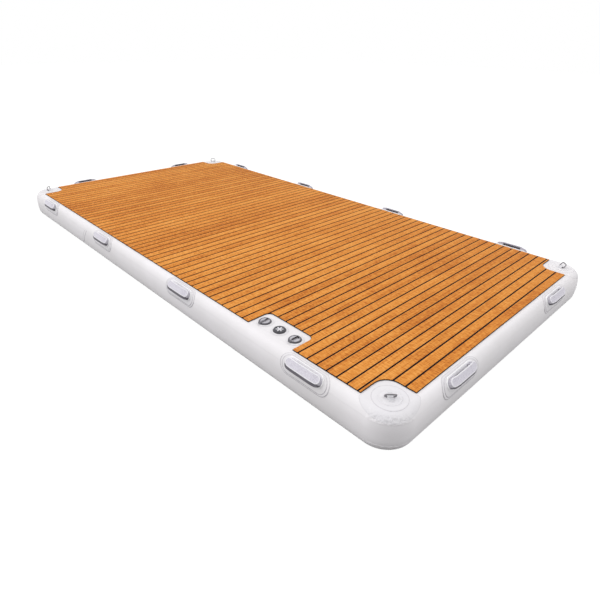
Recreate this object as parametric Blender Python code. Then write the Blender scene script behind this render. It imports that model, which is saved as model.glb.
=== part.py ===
"""Inflatable swim platform: a drop-stitch hull with a foam teak deck, handles, corner rings and valves.

Lengths are in metres. The origin is under the middle of the hull, on the surface that it lies on.
+X runs along the hull, +Y across it and +Z up. The near side is the one with the valves, at -Y.
"""

import math

import bmesh
import bpy
from mathutils import Matrix, Vector

# Hull
HULL_LENGTH = 4.10
HULL_WIDTH = 2.05
HULL_THICKNESS = 0.20
CORNER_RADIUS = 0.14
SIDE_BULGE = 0.045
SIDE_EXPONENT = 2.2
SIDE_ANGLES = (90, 78, 66, 54, 38, 19, 0, -19, -38, -54, -66, -78, -90)
TAPED_STEPS = 3
CORNER_STEPS = 6
CLOTH_THICKNESS = 0.0010
WALL_THICKNESS = 0.0012
TAPE_THICKNESS = 0.0009
TAPE_OVERLAP = 0.030
THREAD_BUNDLE_WIDTH = 0.030
THREAD_BUNDLE_PITCH = 0.40

# Gap that touching pieces keep, and how far a cutting shape runs past what it cuts
GAP = 0.0003
OVERRUN = 0.020

# Deck
DECK_MARGIN_X = 0.059
DECK_MARGIN_Y = 0.057
DECK_LAYER = 0.003
DECK_BLACK_EDGE = 0.002
PLANK_PITCH = 0.0588
CAULK_WIDTH = 0.0055
CAULK_DEPTH = 0.002
NOTCH_LENGTH = 0.156
NOTCH_WIDTH = 0.165
NOTCH_RADIUS = 0.075
NOTCH_STEPS = 6
CUTOUT_MIDDLE = 1.270
CUTOUT_CLEARANCE = 0.0095
CUTOUT_WIDTH = 0.141
CUTOUT_RADIUS = 0.035
CUTOUT_STEPS = 4

# Reinforcement patches
PATCH_THICKNESS = 0.0009
PATCH_SIDES = 20

# Corner rings
RING_INSET_X = 0.115
RING_INSET_Y = 0.12
CORNER_PATCH_RADIUS = 0.117
CORNER_PATCH_STEPS = 4
CORNER_PATCH_INNER_RADIUS = 0.077
PATCH_TO_DECK = 0.003
KEEPER_DISC_RADIUS = 0.050
KEEPER_DISC_THICKNESS = 0.0015
KEEPER_STRAP_WIDTH = 0.025
KEEPER_STRAP_THICKNESS = 0.0015
KEEPER_STRAP_LENGTH = 0.060
RING_WIRE_RADIUS = 0.003
RING_HALF_WIDTH = 0.023
RING_HEIGHT = 0.027
RING_CORNER_RADIUS = 0.005
RING_BOW_EXPONENT = 3.4
RING_BOW_STEPS = 10
RING_SIDES = 8
RING_CLEARANCE = 0.0005
LEFT_RING_LEAN = 5
RIGHT_RING_LEAN = 35

# Handles
HANDLE_END_INSET = 0.49
HANDLE_CORNER_INSET = 0.495
HANDLE_SPACING = 1.06
HANDLE_BASE_DROP = 0.026
HANDLE_TILT = 33
HANDLE_LENGTH = 0.216
HANDLE_WIDTH = 0.048
HANDLE_RISE = 0.029
HANDLE_GRIP_THICKNESS = 0.010
HANDLE_EDGE_RADIUS = 0.005
HANDLE_BASE_THICKNESS = 0.003
HANDLE_BASE_RIM = 0.006
HAND_GAP_LENGTH = 0.124
HAND_GAP_RADIUS = 0.008
HANDLE_END_STEPS = 4
HANDLE_PATCH_LENGTH = 0.305
HANDLE_PATCH_WIDTH = 0.104
HANDLE_PATCH_DROP = 0.010
HANDLE_PATCH_STEP = 0.014

# Valves
VALVE_INSET = 0.121
VALVE_SIDES = 16
VALVE_PATCH_RADIUS = 0.045
VALVE_PATCH_CLEARANCE = 0.020
VALVE_FLANGE_RADIUS = 0.033
VALVE_FLANGE_HEIGHT = 0.004
VALVE_BARREL_RADIUS = 0.0225
VALVE_BARREL_DEPTH = 0.032
VALVE_MOUTH_RADIUS = 0.018
VALVE_SEAT_RADIUS = 0.012
VALVE_SEAT_THICKNESS = 0.003
VALVE_NUT_WALL = 0.0085
VALVE_NUT_HEIGHT = 0.007
HUB_RADIUS = 0.0058
HUB_HEIGHT = 0.004
HUB_DEPTH = 0.025
HUB_ARM_WIDTH = 0.004
HUB_ARMS = 3
STEM_RADIUS = 0.003
STEM_CLEARANCE = 0.0004
STEM_SIDES = 10
POPPET_RADIUS = 0.0155
POPPET_THICKNESS = 0.003
BUTTON_RADIUS = 0.008
BUTTON_THICKNESS = 0.003
RELIEF_SEAT_DEPTH = 0.017
SPRING_LENGTH = 0.0084
SPRING_RADIUS = 0.0055
SPRING_WIRE_RADIUS = 0.0004
SPRING_TURNS = 4
SPRING_POINTS_A_TURN = 8

# Inflation valve caps, which tip over on a hinge, and the relief valve's cover
CAP_RADIUS = 0.030
CAP_THICKNESS = 0.003
CAP_PLUG_DEPTH = 0.005
CAP_PLUG_CLEARANCE = 0.0007
CAP_BAR_LENGTH = 0.044
CAP_BAR_WIDTH = 0.009
CAP_BAR_HEIGHT = 0.005
HINGE_PIN_RADIUS = 0.0015
HINGE_KNUCKLE_RADIUS = 0.003
HINGE_KNUCKLE_LENGTH = 0.009
HINGE_EAR_WIDTH = 0.003
HINGE_OFFSET = 0.0065
HINGE_SIDES = 10
COVER_THICKNESS = 0.004
COVER_SLOTS = 6
COVER_SLOT_WIDTH = 0.004
COVER_SLOT_START = 0.006

# Places that follow from the sizes above
FLAT_HALF_X = HULL_LENGTH / 2 - SIDE_BULGE
FLAT_HALF_Y = HULL_WIDTH / 2 - SIDE_BULGE
FLAT_RADIUS = CORNER_RADIUS - SIDE_BULGE
TAPE_DEPTH = TAPE_THICKNESS + GAP
WALL_DEPTH = TAPE_DEPTH + WALL_THICKNESS
CLOTH_DEPTH = TAPE_DEPTH + CLOTH_THICKNESS
DECK_HALF_X = HULL_LENGTH / 2 - DECK_MARGIN_X
DECK_HALF_Y = HULL_WIDTH / 2 - DECK_MARGIN_Y
PATCH_TOP = GAP + PATCH_THICKNESS
SECOND_PATCH_TOP = PATCH_TOP + PATCH_THICKNESS
RING_X = HULL_LENGTH / 2 - RING_INSET_X
RING_Y = HULL_WIDTH / 2 - RING_INSET_Y
VALVE_Y = VALVE_INSET - HULL_WIDTH / 2
VALVE_NUT_RADIUS = VALVE_BARREL_RADIUS + VALVE_NUT_WALL
VALVE_FLANGE_Z = HULL_THICKNESS + PATCH_TOP + GAP
VALVE_SPACING = VALVE_PATCH_RADIUS * 2 + VALVE_PATCH_CLEARANCE
VALVE_XS = (CUTOUT_MIDDLE - VALVE_SPACING, CUTOUT_MIDDLE, CUTOUT_MIDDLE + VALVE_SPACING)
CUTOUT_HALF_LENGTH = VALVE_SPACING + VALVE_PATCH_RADIUS + CUTOUT_CLEARANCE
END_HANDLE_X = HULL_LENGTH / 2 - HANDLE_END_INSET
END_HANDLE_Y = HULL_WIDTH / 2 - HANDLE_CORNER_INSET
LONG_SIDE_HANDLES = (-END_HANDLE_X, -HANDLE_SPACING / 2, HANDLE_SPACING / 2, END_HANDLE_X)
SHORT_SIDE_HANDLES = (-END_HANDLE_Y, END_HANDLE_Y)
HANDLE_BASE_HEIGHT = HULL_THICKNESS - HANDLE_BASE_DROP


def arc(centre, radius, start, end, steps):
    """Points on an arc about centre, from the start to the end angle in degrees."""
    angles = [math.radians(start + (end - start) * step / steps) for step in range(steps + 1)]
    return [(centre[0] + radius * math.cos(a), centre[1] + radius * math.sin(a)) for a in angles]


def rounded_rectangle(half_x, half_y, radius, steps):
    """Outline of a rectangle with round corners, anticlockwise."""
    x, y = half_x - radius, half_y - radius
    corners = (((x, y), 0), ((-x, y), 90), ((-x, -y), 180), ((x, -y), 270))
    return [point for centre, start in corners for point in arc(centre, radius, start, start + 90, steps)]


def stadium(length, width, steps):
    """Outline with straight sides along x and half round ends, anticlockwise."""
    reach = (length - width) / 2
    right = arc((reach, 0), width / 2, -90, 90, steps)
    return right + arc((-reach, 0), width / 2, 90, 270, steps)


def circle(radius, sides):
    """Points round a circle, anticlockwise."""
    return arc((0, 0), radius, 0, 360, sides)[:-1]


def raised(outline, height):
    """An outline in the xy plane, lifted to a height."""
    return [(x, y, height) for x, y in outline]


def loft(name, rings, joined=False):
    """A closed body through rings of equally many points, capped unless its last ring joins the first."""
    shape = bmesh.new()
    loops = [[shape.verts.new(point) for point in ring] for ring in rings]
    following = loops[1:] + loops[:1] if joined else loops[1:]
    for loop, after in zip(loops, following):
        for i in range(len(loop)):
            shape.faces.new((loop[i - 1], loop[i], after[i], after[i - 1]))
    if not joined:
        shape.faces.new(loops[0])
        shape.faces.new(loops[-1])
    bmesh.ops.recalc_face_normals(shape, faces=shape.faces)
    mesh = bpy.data.meshes.new(name)
    shape.to_mesh(mesh)
    shape.free()
    return mesh


def prism(name, outline, low, high):
    """An upright body of an outline between two heights."""
    return loft(name, [raised(outline, low), raised(outline, high)])


def turned(name, profile, sides, joined=False):
    """A body turned about Z from (radius, height) points."""
    return loft(name, [raised(circle(radius, sides), height) for radius, height in profile], joined)


def box(name, low, high):
    """A block between two corners."""
    outline = [(low[0], low[1]), (high[0], low[1]), (high[0], high[1]), (low[0], high[1])]
    return prism(name, outline, low[2], high[2])


def rod(name, radius, sides, start, end):
    """A cylinder along X between two points with the same y and z."""
    across = [(start[1] + y, start[2] + z) for y, z in circle(radius, sides)]
    return loft(name, [[(x, y, z) for y, z in across] for x in (start[0], end[0])])


def moved(mesh, matrix):
    """The mesh itself, put through a matrix."""
    mesh.transform(matrix)
    return mesh


def joined_up(name, meshes):
    """One mesh that holds several, each still a body of its own."""
    shape = bmesh.new()
    for mesh in meshes:
        shape.from_mesh(mesh)
    result = bpy.data.meshes.new(name)
    shape.to_mesh(result)
    shape.free()
    return result


def carved(name, mesh, steps):
    """The mesh after each (operation, tool mesh) step, where operations are UNION, DIFFERENCE and INTERSECT."""
    work = bpy.data.objects.new(name, mesh)
    tools = [bpy.data.objects.new(name, tool) for _, tool in steps]
    for thing in [work] + tools:
        bpy.context.scene.collection.objects.link(thing)
    for (operation, _), tool in zip(steps, tools):
        cut = work.modifiers.new(operation, "BOOLEAN")
        cut.operation = operation
        cut.solver = "EXACT"
        cut.object = tool
    bpy.context.view_layer.update()
    result = bpy.data.meshes.new_from_object(work.evaluated_get(bpy.context.evaluated_depsgraph_get()))
    for thing in [work] + tools:
        bpy.data.objects.remove(thing)
    result.name = name
    return result


def material(name, colour, roughness, metallic=0.0):
    """A Principled material of one finish."""
    finish = bpy.data.materials.new(name)
    finish.use_nodes = True
    shader = finish.node_tree.nodes["Principled BSDF"]
    shader.inputs["Base Color"].default_value = (*colour, 1.0)
    shader.inputs["Roughness"].default_value = roughness
    shader.inputs["Metallic"].default_value = metallic
    return finish


def place(name, mesh, finish, location=(0, 0, 0), turn=0.0):
    """An object of the mesh, at a location and turned about Z by an angle in degrees."""
    thing = bpy.data.objects.new(name, mesh)
    thing.location = location
    thing.rotation_euler = (0, 0, math.radians(turn))
    bpy.context.scene.collection.objects.link(thing)
    if not mesh.materials:
        mesh.materials.append(finish)
    return thing


def side_profile():
    """(offset, height) points of the hull's side, from the edge of the flat top to that of the flat bottom."""
    half = HULL_THICKNESS / 2
    power = 2 / SIDE_EXPONENT
    points = []
    for angle in SIDE_ANGLES:
        across = abs(math.cos(math.radians(angle))) ** power
        upright = math.copysign(abs(math.sin(math.radians(angle))) ** power, angle)
        offset = 0.0 if abs(angle) == 90 else SIDE_BULGE * across
        points.append((offset, half + half * upright))
    return points


def lifted_profile(lift):
    """The side profile moved along its normal, each stretch still parallel to the first one."""
    profile = side_profile()
    before = (profile[0][0] - SIDE_BULGE, profile[0][1])
    after = (profile[-1][0] - SIDE_BULGE, profile[-1][1])
    points = [Vector(point) for point in [before] + profile + [after]]
    result = []
    for back, here, ahead in zip(points, points[1:], points[2:]):
        first = (here - back).normalized()
        second = (ahead - here).normalized()
        normals = Vector((-first.y, first.x)), Vector((-second.y, second.x))
        mitre = (normals[0] + normals[1]).normalized()
        result.append(tuple(here + mitre * (lift / mitre.dot(normals[0]))))
    return result


def profile_offset_at(height):
    """How far the upper half of the side stands out from the flat top's edge at a height."""
    share = abs(height * 2 / HULL_THICKNESS - 1)
    return SIDE_BULGE * (1 - share**SIDE_EXPONENT) ** (1 / SIDE_EXPONENT)


def hull_ring(offset, height):
    """A ring round the hull, offset outwards from the edge of the flat top."""
    half_x, half_y, radius = FLAT_HALF_X + offset, FLAT_HALF_Y + offset, FLAT_RADIUS + offset
    return raised(rounded_rectangle(half_x, half_y, radius, CORNER_STEPS), height)


def turned_over(points):
    """Profile points mirrored from the top of the hull to its underside."""
    return [(offset, HULL_THICKNESS - height) for offset, height in points]


def deck_outline(grow):
    """The deck's outline with its corner notches and valve cutout, grown outwards all round."""
    x, y = DECK_HALF_X + grow, DECK_HALF_Y + grow
    notch_x = DECK_HALF_X - NOTCH_LENGTH + grow
    notch_y = DECK_HALF_Y - NOTCH_WIDTH + grow
    turn = NOTCH_RADIUS - grow
    corner = arc((notch_x + turn, notch_y + turn), turn, 180, 270, NOTCH_STEPS)
    quarter = [(notch_x, y)] + corner + [(x, notch_y)]
    left, right = CUTOUT_MIDDLE - CUTOUT_HALF_LENGTH + grow, CUTOUT_MIDDLE + CUTOUT_HALF_LENGTH - grow
    inner = CUTOUT_WIDTH - DECK_HALF_Y - grow
    bend = CUTOUT_RADIUS - grow
    cutout = [(left, -y)] + arc((left + bend, inner - bend), bend, 180, 90, CUTOUT_STEPS)
    cutout += arc((right - bend, inner - bend), bend, 90, 0, CUTOUT_STEPS) + [(right, -y)]
    outline = [(px, py) for px, py in reversed(quarter)]
    outline += [(-px, py) for px, py in quarter]
    outline += [(-px, -py) for px, py in reversed(quarter)]
    return outline + cutout + [(px, -py) for px, py in quarter]


def near_valve(x, y):
    """Whether a thread bundle at (x, y) would run into a valve."""
    reach = VALVE_NUT_RADIUS + THREAD_BUNDLE_WIDTH
    return any(math.dist((x, y), (valve_x, VALVE_Y)) < reach for valve_x in VALVE_XS)


def drop_stitch_core():
    """The top and bottom cloth in one body with the bundles of thread that hold them apart."""
    edge = lifted_profile(-WALL_DEPTH)[0][0] - GAP
    margin = -TAPE_OVERLAP - GAP
    low = HULL_THICKNESS - CLOTH_DEPTH
    rim = HULL_THICKNESS - TAPE_DEPTH
    top = [(margin, HULL_THICKNESS), (margin, rim), (edge, rim), (edge, low)]
    cloths = [
        loft("top_cloth", [hull_ring(*point) for point in top]),
        loft("bottom_cloth", [hull_ring(*point) for point in turned_over(top)]),
    ]
    half = THREAD_BUNDLE_WIDTH / 2
    inside = CLOTH_DEPTH - CLOTH_THICKNESS / 2
    columns = int((FLAT_HALF_X - TAPE_OVERLAP - half) / THREAD_BUNDLE_PITCH)
    rows = int((FLAT_HALF_Y - TAPE_OVERLAP - half) / THREAD_BUNDLE_PITCH + 1 / 2)
    xs = [column * THREAD_BUNDLE_PITCH for column in range(-columns, columns + 1)]
    ys = [(row + 1 / 2) * THREAD_BUNDLE_PITCH for row in range(-rows, rows)]
    bundles = [
        box("bundle", (x - half, y - half, inside), (x + half, y + half, HULL_THICKNESS - inside))
        for x in xs
        for y in ys
        if not near_valve(x, y)
    ]
    holes = [
        moved(
            turned(
                "valve_hole",
                [(VALVE_BARREL_RADIUS + GAP, low - OVERRUN), (VALVE_BARREL_RADIUS + GAP, low + OVERRUN)],
                VALVE_SIDES,
            ),
            Matrix.Translation((x, VALVE_Y, 0)),
        )
        for x in VALVE_XS
    ]
    steps = [("UNION", joined_up("bundles", bundles)), ("DIFFERENCE", joined_up("holes", holes))]
    return carved("drop_stitch_core", joined_up("cloths", cloths), steps)


def side_wall():
    """The band round the hull, thinner where a seam tape covers it."""
    covered = lifted_profile(-TAPE_DEPTH)
    bare = lifted_profile(0)
    inner = lifted_profile(-WALL_DEPTH)
    last = TAPED_STEPS
    outer = covered[: last + 1] + [bare[last]] + bare[last + 1 : -last - 1]
    outer += [bare[-last - 1]] + covered[-last - 1 :]
    return loft("side_wall", [hull_ring(*point) for point in outer + inner[::-1]], joined=True)


def seam_tape(name, flip):
    """The tape over the seam between a cloth and the side wall, flush with both."""
    outer = lifted_profile(0)[: TAPED_STEPS + 1]
    inner = lifted_profile(-TAPE_THICKNESS)[: TAPED_STEPS + 1]
    bottom = inner[-1]
    outer_end = outer[-1]
    step = (Vector(outer_end) - Vector(outer[-2])).normalized() * GAP
    outer[-1] = tuple(Vector(outer_end) - step)
    inner[-1] = tuple(Vector(bottom) - step)
    points = [(-TAPE_OVERLAP, HULL_THICKNESS)] + outer + inner[::-1]
    points += [(-TAPE_OVERLAP, HULL_THICKNESS - TAPE_THICKNESS)]
    if flip:
        points = turned_over(points)
    return loft(name, [hull_ring(*point) for point in points], joined=True)


def deck_underlay():
    """The black foam layer, which shows as a thin edge round the teak layer."""
    low = HULL_THICKNESS + GAP
    return prism("deck_underlay", deck_outline(DECK_BLACK_EDGE), low, low + DECK_LAYER)


def deck_teak():
    """The teak coloured foam layer with its routed caulk lines."""
    low = HULL_THICKNESS + DECK_LAYER + GAP * 2
    top = low + DECK_LAYER
    lines = int(DECK_HALF_X / PLANK_PITCH)
    half = CAULK_WIDTH / 2
    reach = DECK_HALF_Y + OVERRUN
    cutters = [
        box(
            "caulk_line",
            (line * PLANK_PITCH - half, -reach, top - CAULK_DEPTH),
            (line * PLANK_PITCH + half, reach, top + OVERRUN),
        )
        for line in range(-lines, lines + 1)
        if abs(line * PLANK_PITCH) + half < DECK_HALF_X
    ]
    plain = prism("deck_teak", deck_outline(0), low, top)
    return carved("deck_teak", plain, [("DIFFERENCE", joined_up("caulk_lines", cutters))])


def draped_lid(low, high):
    """A thin lid over the hull's top and shoulder, from one lift above its surface to another."""
    outer = lifted_profile(high)[: CORNER_PATCH_STEPS + 1]
    inner = lifted_profile(low)[: CORNER_PATCH_STEPS + 1]
    return loft("lid", [hull_ring(*point) for point in outer + inner[::-1]])


def corner_patch(name, side_x, side_y):
    """Two round layers of cloth draped over a corner, cut back from the edge of the deck's notch."""
    notch_x = DECK_HALF_X - NOTCH_LENGTH + DECK_BLACK_EDGE + PATCH_TO_DECK
    notch_y = DECK_HALF_Y - NOTCH_WIDTH + DECK_BLACK_EDGE + PATCH_TO_DECK
    turn = NOTCH_RADIUS - DECK_BLACK_EDGE - PATCH_TO_DECK
    far_x, far_y = HULL_LENGTH / 2 + OVERRUN, HULL_WIDTH / 2 + OVERRUN
    outline = arc((notch_x + turn, notch_y + turn), turn, 180, 270, NOTCH_STEPS)
    outline += [(far_x, notch_y), (far_x, far_y), (notch_x, far_y)]
    low, high = HULL_THICKNESS / 2, HULL_THICKNESS + OVERRUN
    flip = Matrix.Diagonal((side_x, side_y, 1, 1))
    shift = Matrix.Translation((RING_X, RING_Y, 0))
    layers = []
    for radius, bottom, top in (
        (CORNER_PATCH_RADIUS, GAP, PATCH_TOP),
        (CORNER_PATCH_INNER_RADIUS, GAP + PATCH_THICKNESS / 2, SECOND_PATCH_TOP),
    ):
        disc = moved(prism("disc", circle(radius, PATCH_SIDES), low, high), shift)
        notch = prism("notch", outline, low - OVERRUN, high + OVERRUN)
        layers.append(carved(name, draped_lid(bottom, top), [("INTERSECT", disc), ("INTERSECT", notch)]))
    patch = carved(name, layers[0], [("UNION", layers[1])])
    return facing_out(moved(patch, flip))


def facing_out(mesh):
    """The mesh itself, with its faces turned outwards."""
    shape = bmesh.new()
    shape.from_mesh(mesh)
    bmesh.ops.recalc_face_normals(shape, faces=shape.faces)
    shape.to_mesh(mesh)
    shape.free()
    return mesh


def keeper_height():
    """Height of the ring's axis over the foot of the keeper."""
    return KEEPER_DISC_THICKNESS + KEEPER_STRAP_THICKNESS + RING_CLEARANCE + RING_WIRE_RADIUS


def ring_keeper():
    """The disc and webbing loop that hold a ring's bar, about the middle of the disc's foot."""
    axis = keeper_height()
    bore = RING_WIRE_RADIUS + RING_CLEARANCE
    outer = bore + KEEPER_STRAP_THICKNESS
    strap_top = KEEPER_DISC_THICKNESS + KEEPER_STRAP_THICKNESS
    tail, half = KEEPER_STRAP_LENGTH / 2, KEEPER_STRAP_WIDTH / 2
    hump = arc((0, axis), outer, 0, 180, STEM_SIDES // 2)
    outline = [(tail, 0), (tail, strap_top), (outer, strap_top)] + hump
    outline += [(-outer, strap_top), (-tail, strap_top), (-tail, 0)]
    strap = loft("strap", [[(x, y, z) for y, z in outline] for x in (-half, half)])
    disc = turned("disc", [(KEEPER_DISC_RADIUS, 0), (KEEPER_DISC_RADIUS, KEEPER_DISC_THICKNESS)], PATCH_SIDES)
    hole = rod("hole", bore / math.cos(math.pi / STEM_SIDES), STEM_SIDES, (-tail, 0, axis), (tail, 0, axis))
    return carved("ring_keeper", disc, [("UNION", strap), ("DIFFERENCE", hole)])


def d_ring():
    """The bent and welded ring, standing up from the axis of its straight bar."""
    bend, rise = RING_CORNER_RADIUS, RING_HEIGHT - RING_CORNER_RADIUS
    straight = RING_HALF_WIDTH - bend
    power = 2 / RING_BOW_EXPONENT
    bow = []
    for x, z in arc((0, 0), 1, 0, 180, RING_BOW_STEPS):
        across = math.copysign(abs(x) ** power, x)
        bow.append((RING_HALF_WIDTH * across, bend + rise * max(z, 0) ** power))
    right = arc((straight, bend), bend, -90, 0, 2)
    left = arc((-straight, bend), bend, 180, 270, 2)
    path = right[:-1] + bow + left[1:]
    return tube("d_ring", [Vector((x, 0, z)) for x, z in path], RING_WIRE_RADIUS, RING_SIDES)


def tube(name, path, radius, sides):
    """A closed tube round a loop of points in the xz plane."""
    rings = []
    for i, here in enumerate(path):
        along = (path[(i + 1) % len(path)] - path[i - 1]).normalized()
        side = Vector((along.z, 0, -along.x))
        ring = [here + side * y + Vector((0, z, 0)) for y, z in circle(radius, sides)]
        rings.append(ring)
    return loft(name, rings, joined=True)


def wall_strip(low, high, half_length):
    """A straight length of cloth over the shoulder, along x, with y outwards from the flat top's edge."""
    reach = len(SIDE_ANGLES) // 2 + 2
    outer = [(-SIDE_BULGE, HULL_THICKNESS + high)] + lifted_profile(high)[:reach]
    inner = [(-SIDE_BULGE, HULL_THICKNESS + low)] + lifted_profile(low)[:reach]
    section = outer + inner[::-1]
    return loft("strip", [[(x, y, z) for y, z in section] for x in (-half_length, half_length)])


def wall_core(lift, half_length):
    """The solid behind a wall strip, for cutting a foot to the shoulder's curve."""
    reach = len(SIDE_ANGLES) // 2 + 2
    outer = [(-SIDE_BULGE, HULL_THICKNESS + lift)] + lifted_profile(lift)[:reach]
    section = outer + [(-SIDE_BULGE, outer[-1][1])]
    return loft("core", [[(x, y, z) for y, z in section] for x in (-half_length, half_length)])


def handle_frame(drop=0.0):
    """From handle axes (x along it, y up across the shoulder, z out of the wall) to the wall's axes."""
    tilt = math.radians(90 - HANDLE_TILT)
    middle = (0, profile_offset_at(HANDLE_BASE_HEIGHT), HANDLE_BASE_HEIGHT)
    face_out = Matrix.Rotation(math.pi, 4, "Z")
    lean = Matrix.Rotation(tilt, 4, "X")
    return Matrix.Translation(middle) @ face_out @ lean @ Matrix.Translation((0, -drop, 0))


def handle_patch():
    """Two stadium layers of cloth draped over the shoulder under a handle."""
    layers = []
    for shrink, low, high in (
        (0, GAP, PATCH_TOP),
        (HANDLE_PATCH_STEP, GAP + PATCH_THICKNESS / 2, SECOND_PATCH_TOP),
    ):
        outline = stadium(HANDLE_PATCH_LENGTH - shrink * 2, HANDLE_PATCH_WIDTH - shrink, HANDLE_END_STEPS)
        cutter = prism("outline", outline, -HULL_THICKNESS / 4, HULL_THICKNESS / 4)
        moved(cutter, handle_frame(HANDLE_PATCH_DROP))
        strip = wall_strip(low, high, HANDLE_PATCH_LENGTH)
        layers.append(carved("handle_patch", strip, [("INTERSECT", cutter)]))
    return carved("handle_patch", layers[0], [("UNION", layers[1])])


def handle():
    """The moulded grab handle: a curved base plate with a round edged grip over a hand gap."""
    foot = SECOND_PATCH_TOP + GAP
    rim = HANDLE_BASE_RIM * 2
    base_outline = stadium(HANDLE_LENGTH + rim, HANDLE_WIDTH + rim, HANDLE_END_STEPS)
    base_cutter = moved(prism("outline", base_outline, -HULL_THICKNESS / 4, HULL_THICKNESS / 4), handle_frame())
    strip = wall_strip(foot, foot + HANDLE_BASE_THICKNESS, HANDLE_LENGTH)
    base = carved("base", strip, [("INTERSECT", base_cutter)])
    top = foot + HANDLE_RISE
    edge = HANDLE_EDGE_RADIUS
    rings = [raised(stadium(HANDLE_LENGTH, HANDLE_WIDTH, HANDLE_END_STEPS), -HANDLE_RISE)]
    for inset, height in arc((edge, top - edge), edge, 180, 90, 2):
        outline = stadium(HANDLE_LENGTH - inset * 2, HANDLE_WIDTH - inset * 2, HANDLE_END_STEPS)
        rings.append(raised(outline, height))
    low, high = -HANDLE_RISE - OVERRUN, top - HANDLE_GRIP_THICKNESS
    bend = HAND_GAP_RADIUS
    half = HAND_GAP_LENGTH / 2
    opening = [(-half, low), (half, low)] + arc((half - bend, high - bend), bend, 0, 90, 3)
    opening += arc((bend - half, high - bend), bend, 90, 180, 3)
    gap = loft("gap", [[(x, y, z) for x, z in opening] for y in (-HANDLE_WIDTH, HANDLE_WIDTH)])
    grip = moved(carved("grip", loft("grip", rings), [("DIFFERENCE", gap)]), handle_frame())
    shoulder = wall_core(foot + HANDLE_BASE_THICKNESS / 2, HANDLE_LENGTH)
    legs = carved("grip", grip, [("DIFFERENCE", shoulder)])
    return carved("handle", base, [("UNION", legs)])


def valve_patch():
    """The round patch under a valve's flange, on the top cloth."""
    low, high = HULL_THICKNESS + GAP, HULL_THICKNESS + PATCH_TOP
    hole = VALVE_BARREL_RADIUS + GAP
    profile = [(VALVE_PATCH_RADIUS, low), (VALVE_PATCH_RADIUS, high), (hole, high), (hole, low)]
    return turned("valve_patch", profile, VALVE_SIDES, joined=True)


def valve_nut():
    """The ring nut that clamps the cloth from inside."""
    top = HULL_THICKNESS - CLOTH_DEPTH - GAP
    low = top - VALVE_NUT_HEIGHT
    hole = VALVE_BARREL_RADIUS + GAP
    profile = [(VALVE_NUT_RADIUS, low), (VALVE_NUT_RADIUS, top), (hole, top), (hole, low)]
    return turned("valve_nut", profile, VALVE_SIDES, joined=True)


def spider(depth):
    """The hub that guides a stem, with its arms to the barrel's wall."""
    low, high = -depth, HUB_HEIGHT - depth
    bore = (STEM_RADIUS + STEM_CLEARANCE) / math.cos(math.pi / STEM_SIDES)
    profile = [(HUB_RADIUS, low), (HUB_RADIUS, high), (bore, high), (bore, low)]
    hub = turned("hub", profile, STEM_SIDES, joined=True)
    start = (bore + HUB_RADIUS) / 2
    end = (VALVE_MOUTH_RADIUS + VALVE_BARREL_RADIUS) / 2
    half = HUB_ARM_WIDTH / 2
    arms = []
    for arm in range(HUB_ARMS):
        bar = box("arm", (start, -half, low), (end, half, high))
        arms.append(moved(bar, Matrix.Rotation(math.tau * arm / HUB_ARMS, 4, "Z")))
    return carved("spider", hub, [("UNION", joined_up("arms", arms))])


def hinge_y():
    """Where the cap's hinge lies across the hull from the valve's middle."""
    return -CAP_RADIUS - HINGE_OFFSET


def hinge_z():
    """Height of the cap's hinge over the underside of the flange."""
    return VALVE_FLANGE_HEIGHT + GAP + CAP_THICKNESS / 2


def hinge_ears():
    """The two ears on the flange and the pin between them."""
    inner = HINGE_KNUCKLE_LENGTH / 2 + GAP * 2
    outer = inner + HINGE_EAR_WIDTH
    low_y, high_y = hinge_y() - HINGE_KNUCKLE_RADIUS, -CAP_RADIUS - GAP * 2
    top = hinge_z() + HINGE_KNUCKLE_RADIUS
    middle = (inner + outer) / 2
    right = box("ear", (inner, low_y, 0), (outer, high_y, top))
    left = box("ear", (-outer, low_y, 0), (-inner, high_y, top))
    pin = rod("pin", HINGE_PIN_RADIUS, HINGE_SIDES, (-middle, hinge_y(), hinge_z()), (middle, hinge_y(), hinge_z()))
    return joined_up("ears", [right, left]), pin


def valve_body(name, seat_depth, hinged):
    """A flanged barrel with its seat ring and the hub that guides the poppet's stem."""
    seat_top = VALVE_SEAT_THICKNESS - seat_depth
    edge = VALVE_FLANGE_HEIGHT / 4
    profile = [
        (VALVE_BARREL_RADIUS, 0),
        (VALVE_FLANGE_RADIUS, 0),
        (VALVE_FLANGE_RADIUS, VALVE_FLANGE_HEIGHT - edge),
        (VALVE_FLANGE_RADIUS - edge, VALVE_FLANGE_HEIGHT),
        (VALVE_MOUTH_RADIUS, VALVE_FLANGE_HEIGHT),
        (VALVE_MOUTH_RADIUS, seat_top),
        (VALVE_SEAT_RADIUS, seat_top),
        (VALVE_SEAT_RADIUS, -seat_depth),
    ]
    if seat_depth < VALVE_BARREL_DEPTH:
        profile += [(VALVE_MOUTH_RADIUS, -seat_depth), (VALVE_MOUTH_RADIUS, -VALVE_BARREL_DEPTH)]
    profile += [(VALVE_BARREL_RADIUS, -VALVE_BARREL_DEPTH)]
    steps = [("UNION", spider(HUB_DEPTH))]
    if hinged:
        ears, pin = hinge_ears()
        steps += [("UNION", ears), ("UNION", pin)]
    return carved(name, turned(name, profile, VALVE_SIDES, joined=True), steps)


def valve_poppet():
    """The sealing disc under the seat, its stem up through the hub and the button to push it by."""
    disc_top = -VALVE_BARREL_DEPTH - GAP
    button_low = HUB_HEIGHT - HUB_DEPTH + SPRING_LENGTH + GAP * 2
    profile = [
        (POPPET_RADIUS, disc_top - POPPET_THICKNESS),
        (POPPET_RADIUS, disc_top),
        (STEM_RADIUS, disc_top),
        (STEM_RADIUS, button_low),
        (BUTTON_RADIUS, button_low),
        (BUTTON_RADIUS, button_low + BUTTON_THICKNESS),
    ]
    return turned("valve_poppet", profile, STEM_SIDES)


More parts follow.
